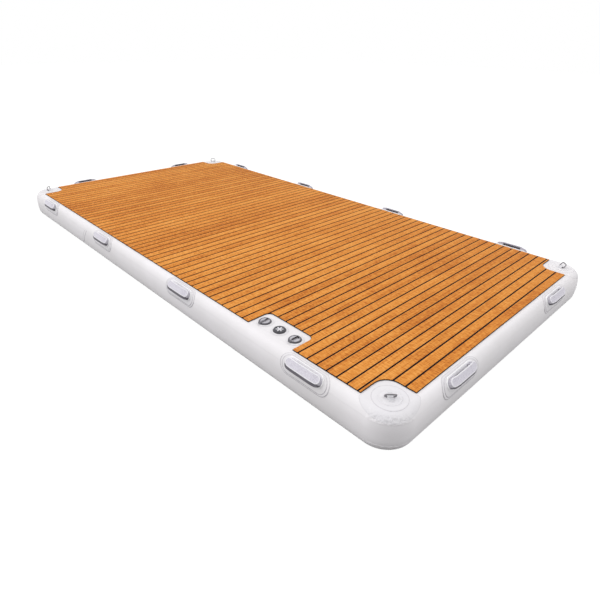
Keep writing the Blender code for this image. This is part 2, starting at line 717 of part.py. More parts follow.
def relief_poppet():
    """The disc that lies on the relief valve's seat, with its stem down to the spring's collar."""
    disc_low = VALVE_SEAT_THICKNESS - RELIEF_SEAT_DEPTH + GAP
    collar_top = -HUB_DEPTH - SPRING_LENGTH - GAP * 2
    profile = [
        (BUTTON_RADIUS, collar_top - BUTTON_THICKNESS),
        (BUTTON_RADIUS, collar_top),
        (STEM_RADIUS, collar_top),
        (STEM_RADIUS, disc_low),
        (POPPET_RADIUS, disc_low),
        (POPPET_RADIUS, disc_low + POPPET_THICKNESS),
    ]
    return turned("relief_poppet", profile, STEM_SIDES)


def least_gap(path, wire):
    """The least gap between a wound wire's turns, measured between its points."""
    apart = SPRING_POINTS_A_TURN // 2
    pairs = ((a, b) for i, a in enumerate(path) for b in path[i + apart :])
    return min((a - b).length for a, b in pairs) - wire * 2


def coil_spring(name, low):
    """A wound spring about Z, one unbroken wire from a low end upwards."""
    wire = SPRING_WIRE_RADIUS
    count = SPRING_TURNS * SPRING_POINTS_A_TURN
    climb = SPRING_LENGTH - wire * 2
    path = []
    for step in range(count + 1):
        angle = math.tau * step / SPRING_POINTS_A_TURN
        height = low + wire + climb * step / count
        path.append(Vector((SPRING_RADIUS * math.cos(angle), SPRING_RADIUS * math.sin(angle), height)))
    print(f"{name}: the least gap between turns is {least_gap(path, wire):.5f} m")
    rings = []
    for i, here in enumerate(path):
        along = (path[min(i + 1, count)] - path[max(i - 1, 0)]).normalized()
        out = Vector((here.x, here.y, 0)).normalized()
        up = along.cross(out)
        rings.append([here + out * x + up * y for x, y in circle(wire, STEM_SIDES // 2)])
    return loft(name, rings)


def valve_cap():
    """The cap with its plug, grip bar and hinge knuckle, about the hinge's axis."""
    low = VALVE_FLANGE_HEIGHT + GAP
    plug = VALVE_MOUTH_RADIUS - CAP_PLUG_CLEARANCE
    edge = CAP_THICKNESS / 4
    profile = [
        (plug - edge, low - CAP_PLUG_DEPTH),
        (plug, low - CAP_PLUG_DEPTH + edge),
        (plug, low),
        (CAP_RADIUS, low),
        (CAP_RADIUS, low + CAP_THICKNESS - edge),
        (CAP_RADIUS - edge, low + CAP_THICKNESS),
    ]
    top = low + CAP_THICKNESS
    half_length, half_width = CAP_BAR_LENGTH / 2, CAP_BAR_WIDTH / 2
    bar_low = (-half_width, -half_length, low + CAP_THICKNESS / 2)
    bar = box("bar", bar_low, (half_width, half_length, top + CAP_BAR_HEIGHT))
    reach = HINGE_KNUCKLE_LENGTH / 2
    y, z = hinge_y(), hinge_z()
    leaf = box("leaf", (-reach, y, low), (reach, HINGE_OFFSET - CAP_RADIUS, low + CAP_THICKNESS - edge))
    knuckle = rod("knuckle", HINGE_KNUCKLE_RADIUS, HINGE_SIDES, (-reach, y, z), (reach, y, z))
    bore = (HINGE_PIN_RADIUS + GAP) / math.cos(math.pi / HINGE_SIDES)
    hole = rod("hole", bore, HINGE_SIDES, (-reach - OVERRUN, y, z), (reach + OVERRUN, y, z))
    steps = [("UNION", bar), ("UNION", leaf), ("UNION", knuckle), ("DIFFERENCE", hole)]
    cap = carved("valve_cap", turned("valve_cap", profile, VALVE_SIDES), steps)
    return moved(cap, Matrix.Translation((0, -y, -z)))


def relief_cover():
    """The slotted cover over the relief valve, with the spigot that holds it in the mouth."""
    low = VALVE_FLANGE_HEIGHT + GAP
    spigot = VALVE_MOUTH_RADIUS - GAP
    wall = spigot - COVER_SLOT_WIDTH / 2
    edge = COVER_THICKNESS / 4
    top = low + COVER_THICKNESS
    profile = [
        (wall, low),
        (wall, low - CAP_PLUG_DEPTH),
        (spigot, low - CAP_PLUG_DEPTH),
        (spigot, low),
        (CAP_RADIUS, low),
        (CAP_RADIUS, top - edge),
        (CAP_RADIUS - edge, top),
    ]
    half = COVER_SLOT_WIDTH / 2
    slots = []
    for slot in range(COVER_SLOTS):
        cutter = box("slot", (COVER_SLOT_START, -half, low - OVERRUN), (wall - half, half, top + OVERRUN))
        slots.append(moved(cutter, Matrix.Rotation(math.tau * slot / COVER_SLOTS, 4, "Z")))
    shell = turned("relief_cover", profile, VALVE_SIDES)
    return carved("relief_cover", shell, [("DIFFERENCE", joined_up("slots", slots))])


def build_hull(finishes):
    """Core, side wall, seam tapes and the two deck layers."""
    place("drop_stitch_core", drop_stitch_core(), finishes["cloth"])
    place("side_wall", side_wall(), finishes["cloth"])
    place("seam_tape_top", seam_tape("seam_tape_top", False), finishes["tape"])
    place("seam_tape_bottom", seam_tape("seam_tape_bottom", True), finishes["tape"])
    place("deck_underlay", deck_underlay(), finishes["black_foam"])
    place("deck_teak", deck_teak(), finishes["teak_foam"])


def build_corners(finishes):
    """Patch, keeper and D-ring at each corner."""
    keeper, ring = ring_keeper(), d_ring()
    foot = HULL_THICKNESS + SECOND_PATCH_TOP + GAP
    for side_x, along, lean in ((-1, "left", LEFT_RING_LEAN), (1, "right", RIGHT_RING_LEAN)):
        for side_y, across in ((-1, "near"), (1, "far")):
            label = f"{across}_{along}"
            x, y = side_x * RING_X, side_y * RING_Y
            turn = -side_x * side_y * 45
            name = f"corner_patch_{label}"
            place(name, corner_patch(name, side_x, side_y), finishes["patch"])
            place(f"ring_keeper_{label}", keeper, finishes["webbing"], (x, y, foot), turn)
            bar = place(f"d_ring_{label}", ring, finishes["steel"], (x, y, foot + keeper_height()), turn)
            bar.rotation_euler.x = math.radians(-side_y * lean)


def build_handles(finishes):
    """Handle and patch at each place along the four sides."""
    grip, patch = handle(), handle_patch()
    sides = (
        ("near", LONG_SIDE_HANDLES, lambda along: (along, -FLAT_HALF_Y), 180),
        ("far", LONG_SIDE_HANDLES, lambda along: (along, FLAT_HALF_Y), 0),
        ("left", SHORT_SIDE_HANDLES, lambda along: (-FLAT_HALF_X, along), 90),
        ("right", SHORT_SIDE_HANDLES, lambda along: (FLAT_HALF_X, along), -90),
    )
    for side, places, where, turn in sides:
        for number, along in enumerate(places, start=1):
            x, y = where(along)
            place(f"handle_patch_{side}_{number}", patch, finishes["patch"], (x, y, 0), turn)
            place(f"handle_{side}_{number}", grip, finishes["rubber"], (x, y, 0), turn)


def build_valves(finishes):
    """Two inflation valves with a relief valve between them."""
    patch, nut, poppet, cap = valve_patch(), valve_nut(), valve_poppet(), valve_cap()
    body = valve_body("valve_body", VALVE_BARREL_DEPTH, True)
    spring = coil_spring("valve_spring", HUB_HEIGHT - HUB_DEPTH + GAP)
    first, middle, last = VALVE_XS
    for x, label in ((first, "left"), (last, "right")):
        at = (x, VALVE_Y, VALVE_FLANGE_Z)
        place(f"valve_patch_{label}", patch, finishes["patch"], (x, VALVE_Y, 0))
        place(f"valve_body_{label}", body, finishes["grey"], at)
        place(f"valve_nut_{label}", nut, finishes["grey"], (x, VALVE_Y, 0))
        place(f"valve_poppet_{label}", poppet, finishes["dark"], at)
        place(f"valve_spring_{label}", spring, finishes["steel"], at)
        hinge = (x, VALVE_Y + hinge_y(), VALVE_FLANGE_Z + hinge_z())
        place(f"valve_cap_{label}", cap, finishes["grey"], hinge)
    at = (middle, VALVE_Y, VALVE_FLANGE_Z)
    place("relief_patch", patch, finishes["patch"], (middle, VALVE_Y, 0))
    place("relief_body", valve_body("relief_body", RELIEF_SEAT_DEPTH, False), finishes["grey"], at)
    place("relief_nut", nut, finishes["grey"], (middle, VALVE_Y, 0))
    place("relief_poppet", relief_poppet(), finishes["dark"], at)
    relief_spring = coil_spring("relief_spring", -HUB_DEPTH - GAP - SPRING_LENGTH)
    place("relief_spring", relief_spring, finishes["steel"], at)
    place("relief_cover", relief_cover(), finishes["grey"], at)


def main():
    """Build the whole platform."""
    for thing in list(bpy.data.objects):
        bpy.data.objects.remove(thing)
    finishes = {
        "cloth": material("white_pvc_cloth", (0.86, 0.86, 0.88), 0.35),
        "tape": material("white_pvc_tape", (0.84, 0.84, 0.86), 0.30),
        "patch": material("white_pvc_patch", (0.88, 0.88, 0.90), 0.32),
        "webbing": material("white_webbing", (0.85, 0.85, 0.86), 0.60),
        "rubber": material("lavender_grey_rubber", (0.66, 0.65, 0.72), 0.50),
        "grey": material("grey_plastic", (0.34, 0.35, 0.37), 0.40),
        "dark": material("dark_rubber", (0.05, 0.05, 0.055), 0.60),
        "steel": material("stainless_steel", (0.62, 0.62, 0.64), 0.20, 1.0),
        "black_foam": material("black_foam", (0.02, 0.02, 0.02), 0.80),
        "teak_foam": material("teak_foam", (0.75, 0.29, 0.06), 0.70),
    }
    build_hull(finishes)
    build_corners(finishes)
    build_handles(finishes)
    build_valves(finishes)


main()
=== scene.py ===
"""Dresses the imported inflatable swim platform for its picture.

A drop-stitch hull of white coated cloth carries a foam teak deck, twelve moulded grab handles,
a steel ring at each corner and three valves. Lengths are in metres, +Z is up, and the near side,
where the valves are, is at -Y.
"""

import bisect
import logging
import math
from collections.abc import Callable, Sequence
from dataclasses import dataclass, field, replace
from enum import Enum
from functools import cached_property
from typing import Any, NamedTuple

import bmesh
import bpy
from mathutils import Matrix, Vector
from mathutils.geometry import delaunay_2d_cdt


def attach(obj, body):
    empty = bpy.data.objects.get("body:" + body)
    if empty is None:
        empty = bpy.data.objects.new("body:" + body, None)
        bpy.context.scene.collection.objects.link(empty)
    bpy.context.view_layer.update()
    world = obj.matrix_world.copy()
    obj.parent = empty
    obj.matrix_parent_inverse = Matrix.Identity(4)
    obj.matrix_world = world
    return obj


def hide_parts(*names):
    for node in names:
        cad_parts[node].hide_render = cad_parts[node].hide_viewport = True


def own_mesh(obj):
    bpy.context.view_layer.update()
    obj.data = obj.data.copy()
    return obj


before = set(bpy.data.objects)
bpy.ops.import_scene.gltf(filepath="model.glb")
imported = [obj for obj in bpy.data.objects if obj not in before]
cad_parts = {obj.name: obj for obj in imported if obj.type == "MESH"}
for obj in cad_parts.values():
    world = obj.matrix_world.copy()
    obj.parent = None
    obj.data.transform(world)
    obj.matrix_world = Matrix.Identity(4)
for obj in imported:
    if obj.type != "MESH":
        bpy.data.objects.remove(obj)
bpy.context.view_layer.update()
# How wide a wave texture's bands are at scale 1
BAND = math.tau / 20
log = logging.getLogger("swim_platform")

Flat = tuple[float, float]
Outline = list[Flat]
Drape = Callable[[float, float, float], Vector]
Tree = bpy.types.NodeTree
Node = bpy.types.Node
Socket = bpy.types.NodeSocket
Piece = bpy.types.Object
Inputs = dict[str | int, Any]


class Side(Enum):
    """The hull's four sides, with the direction that each faces and the turn of a handle there."""

    NEAR = ("near", (0, -1), 180)
    FAR = ("far", (0, 1), 0)
    LEFT = ("left", (-1, 0), 90)
    RIGHT = ("right", (1, 0), -90)

    def __init__(self, label: str, facing: tuple[int, int], turn: float) -> None:
        """Keeps the label, direction and turn of one side."""
        self.label = label
        self.facing = facing
        self.turn = turn


class Corner(Enum):
    """The deck's four corners, with the side of each along x and y and the lean of its ring."""

    NEAR_LEFT = ("near_left", -1, -1, 5)
    FAR_LEFT = ("far_left", -1, 1, 5)
    NEAR_RIGHT = ("near_right", 1, -1, 35)
    FAR_RIGHT = ("far_right", 1, 1, 35)

    def __init__(self, label: str, side_x: int, side_y: int, lean: float) -> None:
        """Keeps the label, sides and lean of one corner."""
        self.label = label
        self.side_x = side_x
        self.side_y = side_y
        self.lean = lean


def linear(colour: str) -> tuple[float, float, float, float]:
    """Turns an sRGB hex colour to the linear values that a shader takes, with a full alpha."""
    parts = [int(colour[start : start + 2], 16) / 255 for start in (1, 3, 5)]
    red, green, blue = (p / 12.92 if p <= 0.04045 else ((p + 0.055) / 1.055) ** 2.4 for p in parts)
    return red, green, blue, 1.0


def between(value: float, start: float, end: float) -> float:
    """How far a value has come from start to end, kept from 0 to 1."""
    return min(max((value - start) / (end - start), 0.0), 1.0)


def feed(tree: Tree, node: Node, inputs: Inputs) -> None:
    """Sets or links a node's inputs.

    Args:
        tree: The node's tree.
        node: The node.
        inputs: For each input, by name or number, a value, a socket, or a node for its first socket.
    """
    for key, value in inputs.items():
        source = value.outputs[0] if isinstance(value, Node) else value
        if isinstance(source, Socket):
            tree.links.new(source, node.inputs[key])
        else:
            node.inputs[key].default_value = source


def add(tree: Tree, kind: str, inputs: Inputs, stops: Sequence[tuple[float, str]] = (), **settings: Any) -> Node:
    """Adds a node with its settings and links.

    Args:
        tree: The tree that gets the node.
        kind: The node's type name.
        inputs: Its inputs, as feed takes them.
        stops: Place and hex colour of each stop of a colour ramp.
        settings: Properties to set on the node.

    Returns:
        The new node.
    """
    node = tree.nodes.new(kind)
    for name, value in settings.items():
        setattr(node, name, value)
    feed(tree, node, inputs)
    if stops:
        elements = node.color_ramp.elements
        while len(elements) < len(stops):
            elements.new(0.5)
        for element, (place, colour) in zip(elements, stops):
            element.position = place
            element.color = linear(colour)
    return node


@dataclass(frozen=True)
class Finish:
    """What one material is: its name, the record's slot, its colour and its gloss."""

    name: str
    slot: str
    colour: str
    roughness: float
    metallic: float = 0.0
    bump: float = 0.2
    specular: float = 0.2

    @cached_property
    def material(self) -> bpy.types.Material:
        """The Blender material, built once."""
        made = bpy.data.materials.new(self.name)
        made.use_nodes = True
        tree = made.node_tree
        shader = tree.nodes["Principled BSDF"]
        plain = {"Base Color": linear(self.colour), "Roughness": self.roughness, "Metallic": self.metallic}
        feed(tree, shader, plain | {"Specular IOR Level": self.specular})
        feed(tree, shader, self.dress(tree))
        return made

    def dress(self, tree: Tree) -> Inputs:
        """Adds the finish's nodes and returns the shader inputs that they feed; a plain finish has none."""
        return {}

    def raised(self, tree: Tree, height: Node | Socket, depth: float) -> Node:
        """A bump whose height, from 0 to 1, is depth metres in all."""
        return add(tree, "ShaderNodeBump", {"Strength": self.bump, "Distance": depth, "Height": height})


@dataclass(frozen=True)
class CoatedCloth(Finish):
    """Polyester cloth coated with PVC and calendered.

    The eye sees a clean satin white, the base cloth's threads as a faint square grid, slow waves
    where the drop threads pull and small folds where flat cloth is drawn in round a corner. Painted
    shade greys the wall below the corners' layers and along the ground edge, and a grey line runs where
    a glued edge ends, partly the edge's own line and partly painted shadow of its step.
    """

    bump: float = 0.10
    specular: float = 0.15
    thread: float = 0.0014
    fold_depth: float = 0.0075
    # Colour of the grey edge line: partly the glued edge's own line, partly painted shadow of its step
    glue_and_shadow_colour: str = "#A9A4AA"
    shade_colour: str = "#E7E4E6"
    # Colour of the painted shade under the corners' layers and along the ground edge
    painted_shade_colour: str = "#DAD7DA"

    def dress(self, tree: Tree) -> Inputs:
        """Adds the threads, waves and folds, the painted shade by the corners and the ground, and the grey edge line,
        partly painted shadow.
        """
        cloth = add(tree, "ShaderNodeUVMap", {}, uv_map="cloth")
        place = add(tree, "ShaderNodeTexCoord", {}).outputs["Object"]
        drawn, painted_shade, rim = (
            add(tree, "ShaderNodeAttribute", {}, attribute_name=name).outputs["Fac"] for name in ("drawn", "painted_shade", "rim")
        )
        inputs = {"Vector": cloth, "Scale": BAND / self.thread, "Distortion": 0.0}
        warp, weft = (add(tree, "ShaderNodeTexWave", inputs, bands_direction=axis).outputs["Fac"] for axis in "XY")
        weave = add(tree, "ShaderNodeMath", {0: warp, 1: weft}, operation="MULTIPLY")
        slow = add(tree, "ShaderNodeTexNoise", {"Vector": place, "Scale": 9.0, "Detail": 3.0})
        height = add(tree, "ShaderNodeMath", {0: weave, 1: 0.12, 2: slow}, operation="MULTIPLY_ADD")
        fold = add(tree, "ShaderNodeTexNoise", {"Vector": place, "Scale": 70.0, "Detail": 1.0, "Distortion": 0.3})
        deep = add(tree, "ShaderNodeMath", {0: drawn, 1: fold}, operation="MULTIPLY")
        inputs = {"Strength": 1.0, "Distance": self.fold_depth, "Height": deep}
        folds = add(tree, "ShaderNodeBump", inputs | {"Normal": self.raised(tree, height, 0.0012)})
        cloudy = add(tree, "ShaderNodeTexNoise", {"Vector": place, "Scale": 2.6, "Detail": 5.0, "Roughness": 0.62})
        body = add(tree, "ShaderNodeValToRGB", {0: cloudy}, ((0.35, self.shade_colour), (0.62, self.colour)))
        rough = add(tree, "ShaderNodeTexNoise", {"Vector": place, "Scale": 120.0, "Detail": 2.0})
        line = add(tree, "ShaderNodeMath", {0: rim, 1: rough}, operation="MULTIPLY", use_clamp=True)
        # Painted shade under the corners' layers and by the ground, then the grey edge line, partly painted shadow of
        # the edge's step
        for share, colour in ((painted_shade, self.painted_shade_colour), (line, self.glue_and_shadow_colour)):
            inputs = {"Factor": share, 6: body, 7: linear(colour)}
            body = add(tree, "ShaderNodeMix", inputs, data_type="RGBA").outputs[2]
        inputs = {"Value": cloudy, "To Min": self.roughness - 0.05, "To Max": self.roughness + 0.08}
        return {"Base Color": body, "Roughness": add(tree, "ShaderNodeMapRange", inputs), "Normal": folds}


@dataclass(frozen=True)
class TeakFoam(Finish):
    """Closed cell EVA foam, skived and brushed.

    The eye sees a dry matt orange brown, each plank a little lighter or darker than the next,
    with fine streaks along it and a short brushed nap across it.
    """

    pitch: float = 0.0588
    dark_colour: str = "#B06228"
    light_colour: str = "#E8A152"

    def dress(self, tree: Tree) -> Inputs:
        """Adds the planks' own shades, the streaks and the brushed nap."""
        place = add(tree, "ShaderNodeTexCoord", {}).outputs["Object"]
        across = add(tree, "ShaderNodeSeparateXYZ", {0: place})
        number = add(tree, "ShaderNodeMath", {0: across, 1: self.pitch}, operation="DIVIDE")
        plank = add(tree, "ShaderNodeMath", {0: number}, operation="FLOOR")
        shade = add(tree, "ShaderNodeTexWhiteNoise", {"W": plank}, noise_dimensions="1D")
        tone = add(tree, "ShaderNodeMath", {0: shade, 1: 0.12, 2: -0.225}, operation="MULTIPLY_ADD")
        # Each layer's repeats in a metre along x, y and z, its detail, roughness and weight: clouds,
        # streaks about 2 mm wide and 120 mm long, broad bands, and the nap, which is brushed about
        # every 1 mm on the real foam and drawn at 6 mm to show
        layers = (
            ((3.2, 3.2, 3.2), 4.0, 0.6, 0.24),
            ((420.0, 8.0, 420.0), 4.0, 0.6, 0.42),
            ((90.0, 2.4, 90.0), 2.0, 0.5, 0.30),
            ((50.0, 165.0, 50.0), 1.0, 0.5, 0.55),
        )
        for repeats, detail, rough, weight in layers:
            drawn_out = add(tree, "ShaderNodeMapping", {"Vector": place, "Scale": repeats})
            inputs = {"Vector": drawn_out, "Scale": 1.0, "Detail": detail, "Roughness": rough}
            grain = add(tree, "ShaderNodeTexNoise", inputs)
            tone = add(tree, "ShaderNodeMath", {0: grain, 1: weight, 2: tone}, operation="MULTIPLY_ADD")
        stops = ((0.40, self.dark_colour), (0.58, self.colour), (0.77, self.light_colour))
        body = add(tree, "ShaderNodeValToRGB", {0: tone}, stops)
        return {"Base Color": body, "Normal": self.raised(tree, tone, 0.0005)}


@dataclass(frozen=True)
class CellFoam(Finish):
    """Black closed cell EVA foam, cut: a matt near black with open cells on the cut face."""

    cell: float = 0.0009
    light_colour: str = "#1A1A1D"

    def dress(self, tree: Tree) -> Inputs:
        """Adds the cut cells."""
        place = add(tree, "ShaderNodeTexCoord", {}).outputs["Object"]
        cells = add(tree, "ShaderNodeTexVoronoi", {"Vector": place, "Scale": 1 / self.cell})
        body = add(tree, "ShaderNodeValToRGB", {0: cells}, ((0.0, self.colour), (1.0, self.light_colour)))
        return {"Base Color": body, "Normal": self.raised(tree, cells, self.cell / 2)}


@dataclass(frozen=True)
class MouldedRubber(Finish):
    """Soft PVC, injection moulded: a dull pale lavender grey with a stippled grip face.

    Its edges carry a painted highlight, a thin white line.
    """

    stipple: float = 0.0022
    dark_colour: str = "#C3BFCA"
    # A painted highlight, a thin white line along the edges
    painted_highlight_colour: str = "#FFFFFF"

    def dress(self, tree: Tree) -> Inputs:
        """Adds the stipple, the moulding's cloudiness and the painted highlight on the edges."""
        place = add(tree, "ShaderNodeTexCoord", {}).outputs["Object"]
        dots = add(tree, "ShaderNodeTexVoronoi", {"Vector": place, "Scale": 1 / self.stipple}, feature="SMOOTH_F1")
        cloud = add(tree, "ShaderNodeTexNoise", {"Vector": place, "Scale": 260.0, "Detail": 4.0})
        body = add(tree, "ShaderNodeValToRGB", {0: cloud}, ((0.34, self.dark_colour), (0.58, self.colour)))
        # The band along the edge gets the painted highlight
        rim = add(tree, "ShaderNodeAttribute", {}, attribute_name="rim").outputs["Fac"]
        inputs = {"Factor": rim, 6: body, 7: linear(self.painted_highlight_colour)}
        mixed = add(tree, "ShaderNodeMix", inputs, data_type="RGBA").outputs[2]
        return {"Base Color": mixed, "Normal": self.raised(tree, dots, self.stipple / 3)}


@dataclass(frozen=True)
class MouldedPlastic(Finish):
    """Glass filled nylon, injection moulded: clouded grey, a low sheen and a faint orange peel."""

    bump: float = 0.3
    specular: float = 0.3
    peel: float = 0.0030
    light_colour: str = "#A2A1A6"

    def dress(self, tree: Tree) -> Inputs:
        """Adds the orange peel and the cloudiness."""
        place = add(tree, "ShaderNodeTexCoord", {}).outputs["Object"]
        peel = add(tree, "ShaderNodeTexNoise", {"Vector": place, "Scale": 1 / self.peel, "Detail": 2.0})
        cloud = add(tree, "ShaderNodeTexNoise", {"Vector": place, "Scale": 90.0, "Detail": 4.0})
        body = add(tree, "ShaderNodeValToRGB", {0: cloud}, ((0.30, self.colour), (0.75, self.light_colour)))
        return {"Base Color": body, "Normal": self.raised(tree, peel, 0.0003)}


@dataclass(frozen=True)
class DrawnSteel(Finish):
    """Stainless steel wire, drawn, bent and polished: bright, with fine marks that blur it."""

    metallic: float = 1.0
    bump: float = 0.1
    specular: float = 0.5
    mark: float = 0.0006

    def dress(self, tree: Tree) -> Inputs:
        """Adds the polishing marks."""
        place = add(tree, "ShaderNodeTexCoord", {}).outputs["Object"]
        marks = add(tree, "ShaderNodeTexNoise", {"Vector": place, "Scale": 1 / self.mark, "Detail": 3.0})
        inputs = {"Value": marks, "To Min": self.roughness - 0.06, "To Max": self.roughness + 0.12}
        return {"Roughness": add(tree, "ShaderNodeMapRange", inputs), "Normal": self.raised(tree, marks, 0.0001)}


@dataclass(frozen=True)
class Webbing(Finish):
    """Polyester webbing, woven flat: ribs across the strap with a soft white sheen."""

    specular: float = 0.5
    rib: float = 0.0018
    shade_colour: str = "#C9C7CC"

    def dress(self, tree: Tree) -> Inputs:
        """Adds the woven ribs."""
        cloth = add(tree, "ShaderNodeUVMap", {}, uv_map="cloth")
        scale = BAND / self.rib
        inputs = {"Vector": cloth, "Scale": scale, "Distortion": 0.4, "Detail Scale": 2.0}
        ribs = add(tree, "ShaderNodeTexWave", inputs, bands_direction="DIAGONAL").outputs["Fac"]
        inputs = {"Vector": cloth, "Scale": scale * 0.8}
        threads = add(tree, "ShaderNodeTexWave", inputs, bands_direction="X").outputs["Fac"]
        height = add(tree, "ShaderNodeMath", {0: ribs, 1: threads}, operation="MAXIMUM")
        body = add(tree, "ShaderNodeValToRGB", {0: height}, ((0.2, self.shade_colour), (0.8, self.colour)))
        return {"Base Color": body, "Normal": self.raised(tree, height, 0.0004)}


@dataclass(frozen=True)
class SoftRubber(Finish):
    """EPDM rubber, pressed: near black and matt, with a dusty bloom."""

    bloom_colour: str = "#242428"

    def dress(self, tree: Tree) -> Inputs:
        """Adds the bloom."""
        place = add(tree, "ShaderNodeTexCoord", {}).outputs["Object"]
        bloom = add(tree, "ShaderNodeTexNoise", {"Vector": place, "Scale": 400.0, "Detail": 4.0})
        body = add(tree, "ShaderNodeValToRGB", {0: bloom}, ((0.35, self.colour), (0.75, self.bloom_colour)))
        return {"Base Color": body, "Normal": self.raised(tree, bloom, 0.0002)}


@dataclass(frozen=True)
class Palette:
    """Every finish of the platform."""

    cloth: Finish = CoatedCloth("white_pvc_coated_cloth", "cloth", "#EEEBEE", 0.50, bump=0.12)
    tape: Finish = CoatedCloth("white_pvc_seam_tape", "tape", "#EEEBEE", 0.48)
    patch: Finish = CoatedCloth("white_pvc_patch", "patch", "#E3E1E5", 0.48)
    teak: Finish = TeakFoam("brushed_eva_teak", "teak_foam", "#D5873A", 0.85, bump=0.35, specular=0.12)
    black: Finish = CellFoam("cut_eva_black", "black_foam", "#0B1319", 0.90, bump=0.5, specular=0.08)
    grip: Finish = MouldedRubber("moulded_soft_pvc", "rubber", "#DBD8E1", 0.55, bump=0.45, specular=0.3)
    flange: Finish = MouldedRubber("moulded_white_flange", "rubber", "#F6F4F8", 0.55, dark_colour="#E6E3EA")
    foot: Finish = MouldedRubber("moulded_grey_foot", "rubber", "#BDBAC2", 0.55, dark_colour="#ADAAB2")
    # The slate core: its own dark in the hand gap, and painted shadow where its ledge shows below the pad and on the
    # feet's lower side
    core: Finish = MouldedRubber(
        "moulded_slate_core_and_painted_shadow", "rubber", "#68656C", 0.60, bump=0.3, dark_colour="#5A575E"
    )
    face: Finish = MouldedPlastic("moulded_nylon_pale_face", "grey", "#B3B0B7", 0.50, light_colour="#C9C7CC")
    spoke: Finish = MouldedPlastic("moulded_nylon_light_grey", "grey", "#D0CED3", 0.50, light_colour="#DEDCE1")
    nylon: Finish = MouldedPlastic("moulded_nylon_grey", "grey", "#66646A", 0.45, light_colour="#85838A")
    rim_nylon: Finish = MouldedPlastic("moulded_nylon_dark_rim", "grey", "#47464B", 0.50, light_colour="#5B5A5F")
    steel: Finish = DrawnSteel("satin_stainless_wire", "steel", "#7C7A7E", 0.30)
    webbing: Finish = Webbing("woven_polyester_webbing", "webbing", "#E8E7EA", 0.62, bump=0.5)
    thread: Finish = Webbing("twisted_polyester_thread", "webbing", "#D8D6DB", 0.55, bump=0.3, rib=0.0006)
    rubber: Finish = SoftRubber("pressed_epdm_rubber", "dark", "#131316", 0.70, bump=0.25, specular=0.15)


@dataclass
class Draft:
    """Points, faces and cloth coordinates of a piece while it is being shaped."""

    name: str
    points: list[Vector] = field(default_factory=list)
    rims: list[float] = field(default_factory=list)
    faces: list[tuple[int, ...]] = field(default_factory=list)
    cloth: list[tuple[Flat, ...]] = field(default_factory=list)

    def add_points(self, points: Sequence[Vector], rim: float = 0.0) -> list[int]:
        """Adds points that share one rim value and returns their numbers."""
        start = len(self.points)
        self.points.extend(Vector(point) for point in points)
        self.rims.extend([rim] * len(points))
        return list(range(start, len(self.points)))

    def add_rows(
        self,
        rows: Sequence[Sequence[Vector]],
        along: Sequence[float] = (),
        across: Sequence[float] = (),
        ring: bool = True,
        loop: bool = False,
        capped: bool = False,
        rims: Sequence[float] = (),
    ) -> None:
        """Joins rows of equally many points with faces.

        Args:
            rows: The rows of points.
            along: Cloth coordinate of each column, with one more at the end where the rows are rings.
            across: Cloth coordinate of each row, with one more at the end where the rows loop.
            ring: Whether a row's last point joins its first.
            loop: Whether the last row joins the first.
            capped: Whether the first and last rows are filled.
            rims: Rim value of each row.
        """
        width = len(rows[0])
        along = along or [0.01 * i for i in range(width + 1)]
        across = across or [0.01 * i for i in range(len(rows) + 1)]
        numbers = [self.add_points(row, rims[i] if rims else 0.0) for i, row in enumerate(rows)]
        for r in range(len(rows) if loop else len(rows) - 1):
            here, after = numbers[r], numbers[(r + 1) % len(rows)]
            for c in range(width if ring else width - 1):
                d = (c + 1) % width
                self.faces.append((here[c], here[d], after[d], after[c]))
                low, high = across[r], across[r + 1]
                self.cloth.append(((along[c], low), (along[c + 1], low), (along[c + 1], high), (along[c], high)))
        if capped:
            for row in (numbers[0], numbers[-1]):
                self.faces.append(tuple(row))
                self.cloth.append(tuple((self.points[i].x, self.points[i].y) for i in row))

    def add_patchwork(self, points: Sequence[Vector], flat: Sequence[Flat], faces: Sequence[tuple[int, ...]]) -> None:
        """Adds loose faces whose cloth coordinates are given for each point."""
        numbers = self.add_points(points)
        for face in faces:
            self.faces.append(tuple(numbers[i] for i in face))
            self.cloth.append(tuple(flat[i] for i in face))

    def build(self, sharp: float = 40.0, weld: float = 1e-6) -> Piece:
        """Makes the object at the origin, with its faces outwards.

        Args:
            sharp: Angle in degrees past which an edge is shaded sharp.
            weld: Distance within which points are merged.

        Returns:
            The object.
        """
        mesh = bpy.data.meshes.new(self.name)
        mesh.from_pydata([tuple(point) for point in self.points], [], self.faces)
        layer = mesh.uv_layers.new(name="cloth")
        layer.data.foreach_set("uv", [value for face in self.cloth for corner in face for value in corner])
        mesh.attributes.new("rim", "FLOAT", "POINT").data.foreach_set("value", self.rims)
        work = bmesh.new()
        work.from_mesh(mesh)
        bmesh.ops.remove_doubles(work, verts=work.verts, dist=weld)
        bmesh.ops.recalc_face_normals(work, faces=work.faces)
        work.to_mesh(mesh)
        work.free()
        return shown(self.name, shaded(mesh, sharp))


def shown(name: str, data: Any) -> Piece:
    """An object for some data, in the scene."""
    thing = bpy.data.objects.new(name, data)
    bpy.context.scene.collection.objects.link(thing)
    return thing


def shaded(mesh: bpy.types.Mesh, sharp: float) -> bpy.types.Mesh:
    """The mesh, shaded smooth but for edges past an angle in degrees."""
    mesh.shade_smooth()
    mesh.set_sharp_from_angle(angle=math.radians(sharp))
    return mesh


def settled(piece: Piece) -> Piece:
    """Turns a piece's modifiers into its plain mesh and returns the piece."""
    mesh = bpy.data.meshes.new_from_object(piece.evaluated_get(bpy.context.evaluated_depsgraph_get()))
    piece.modifiers.clear()
    piece.data = mesh
    return piece


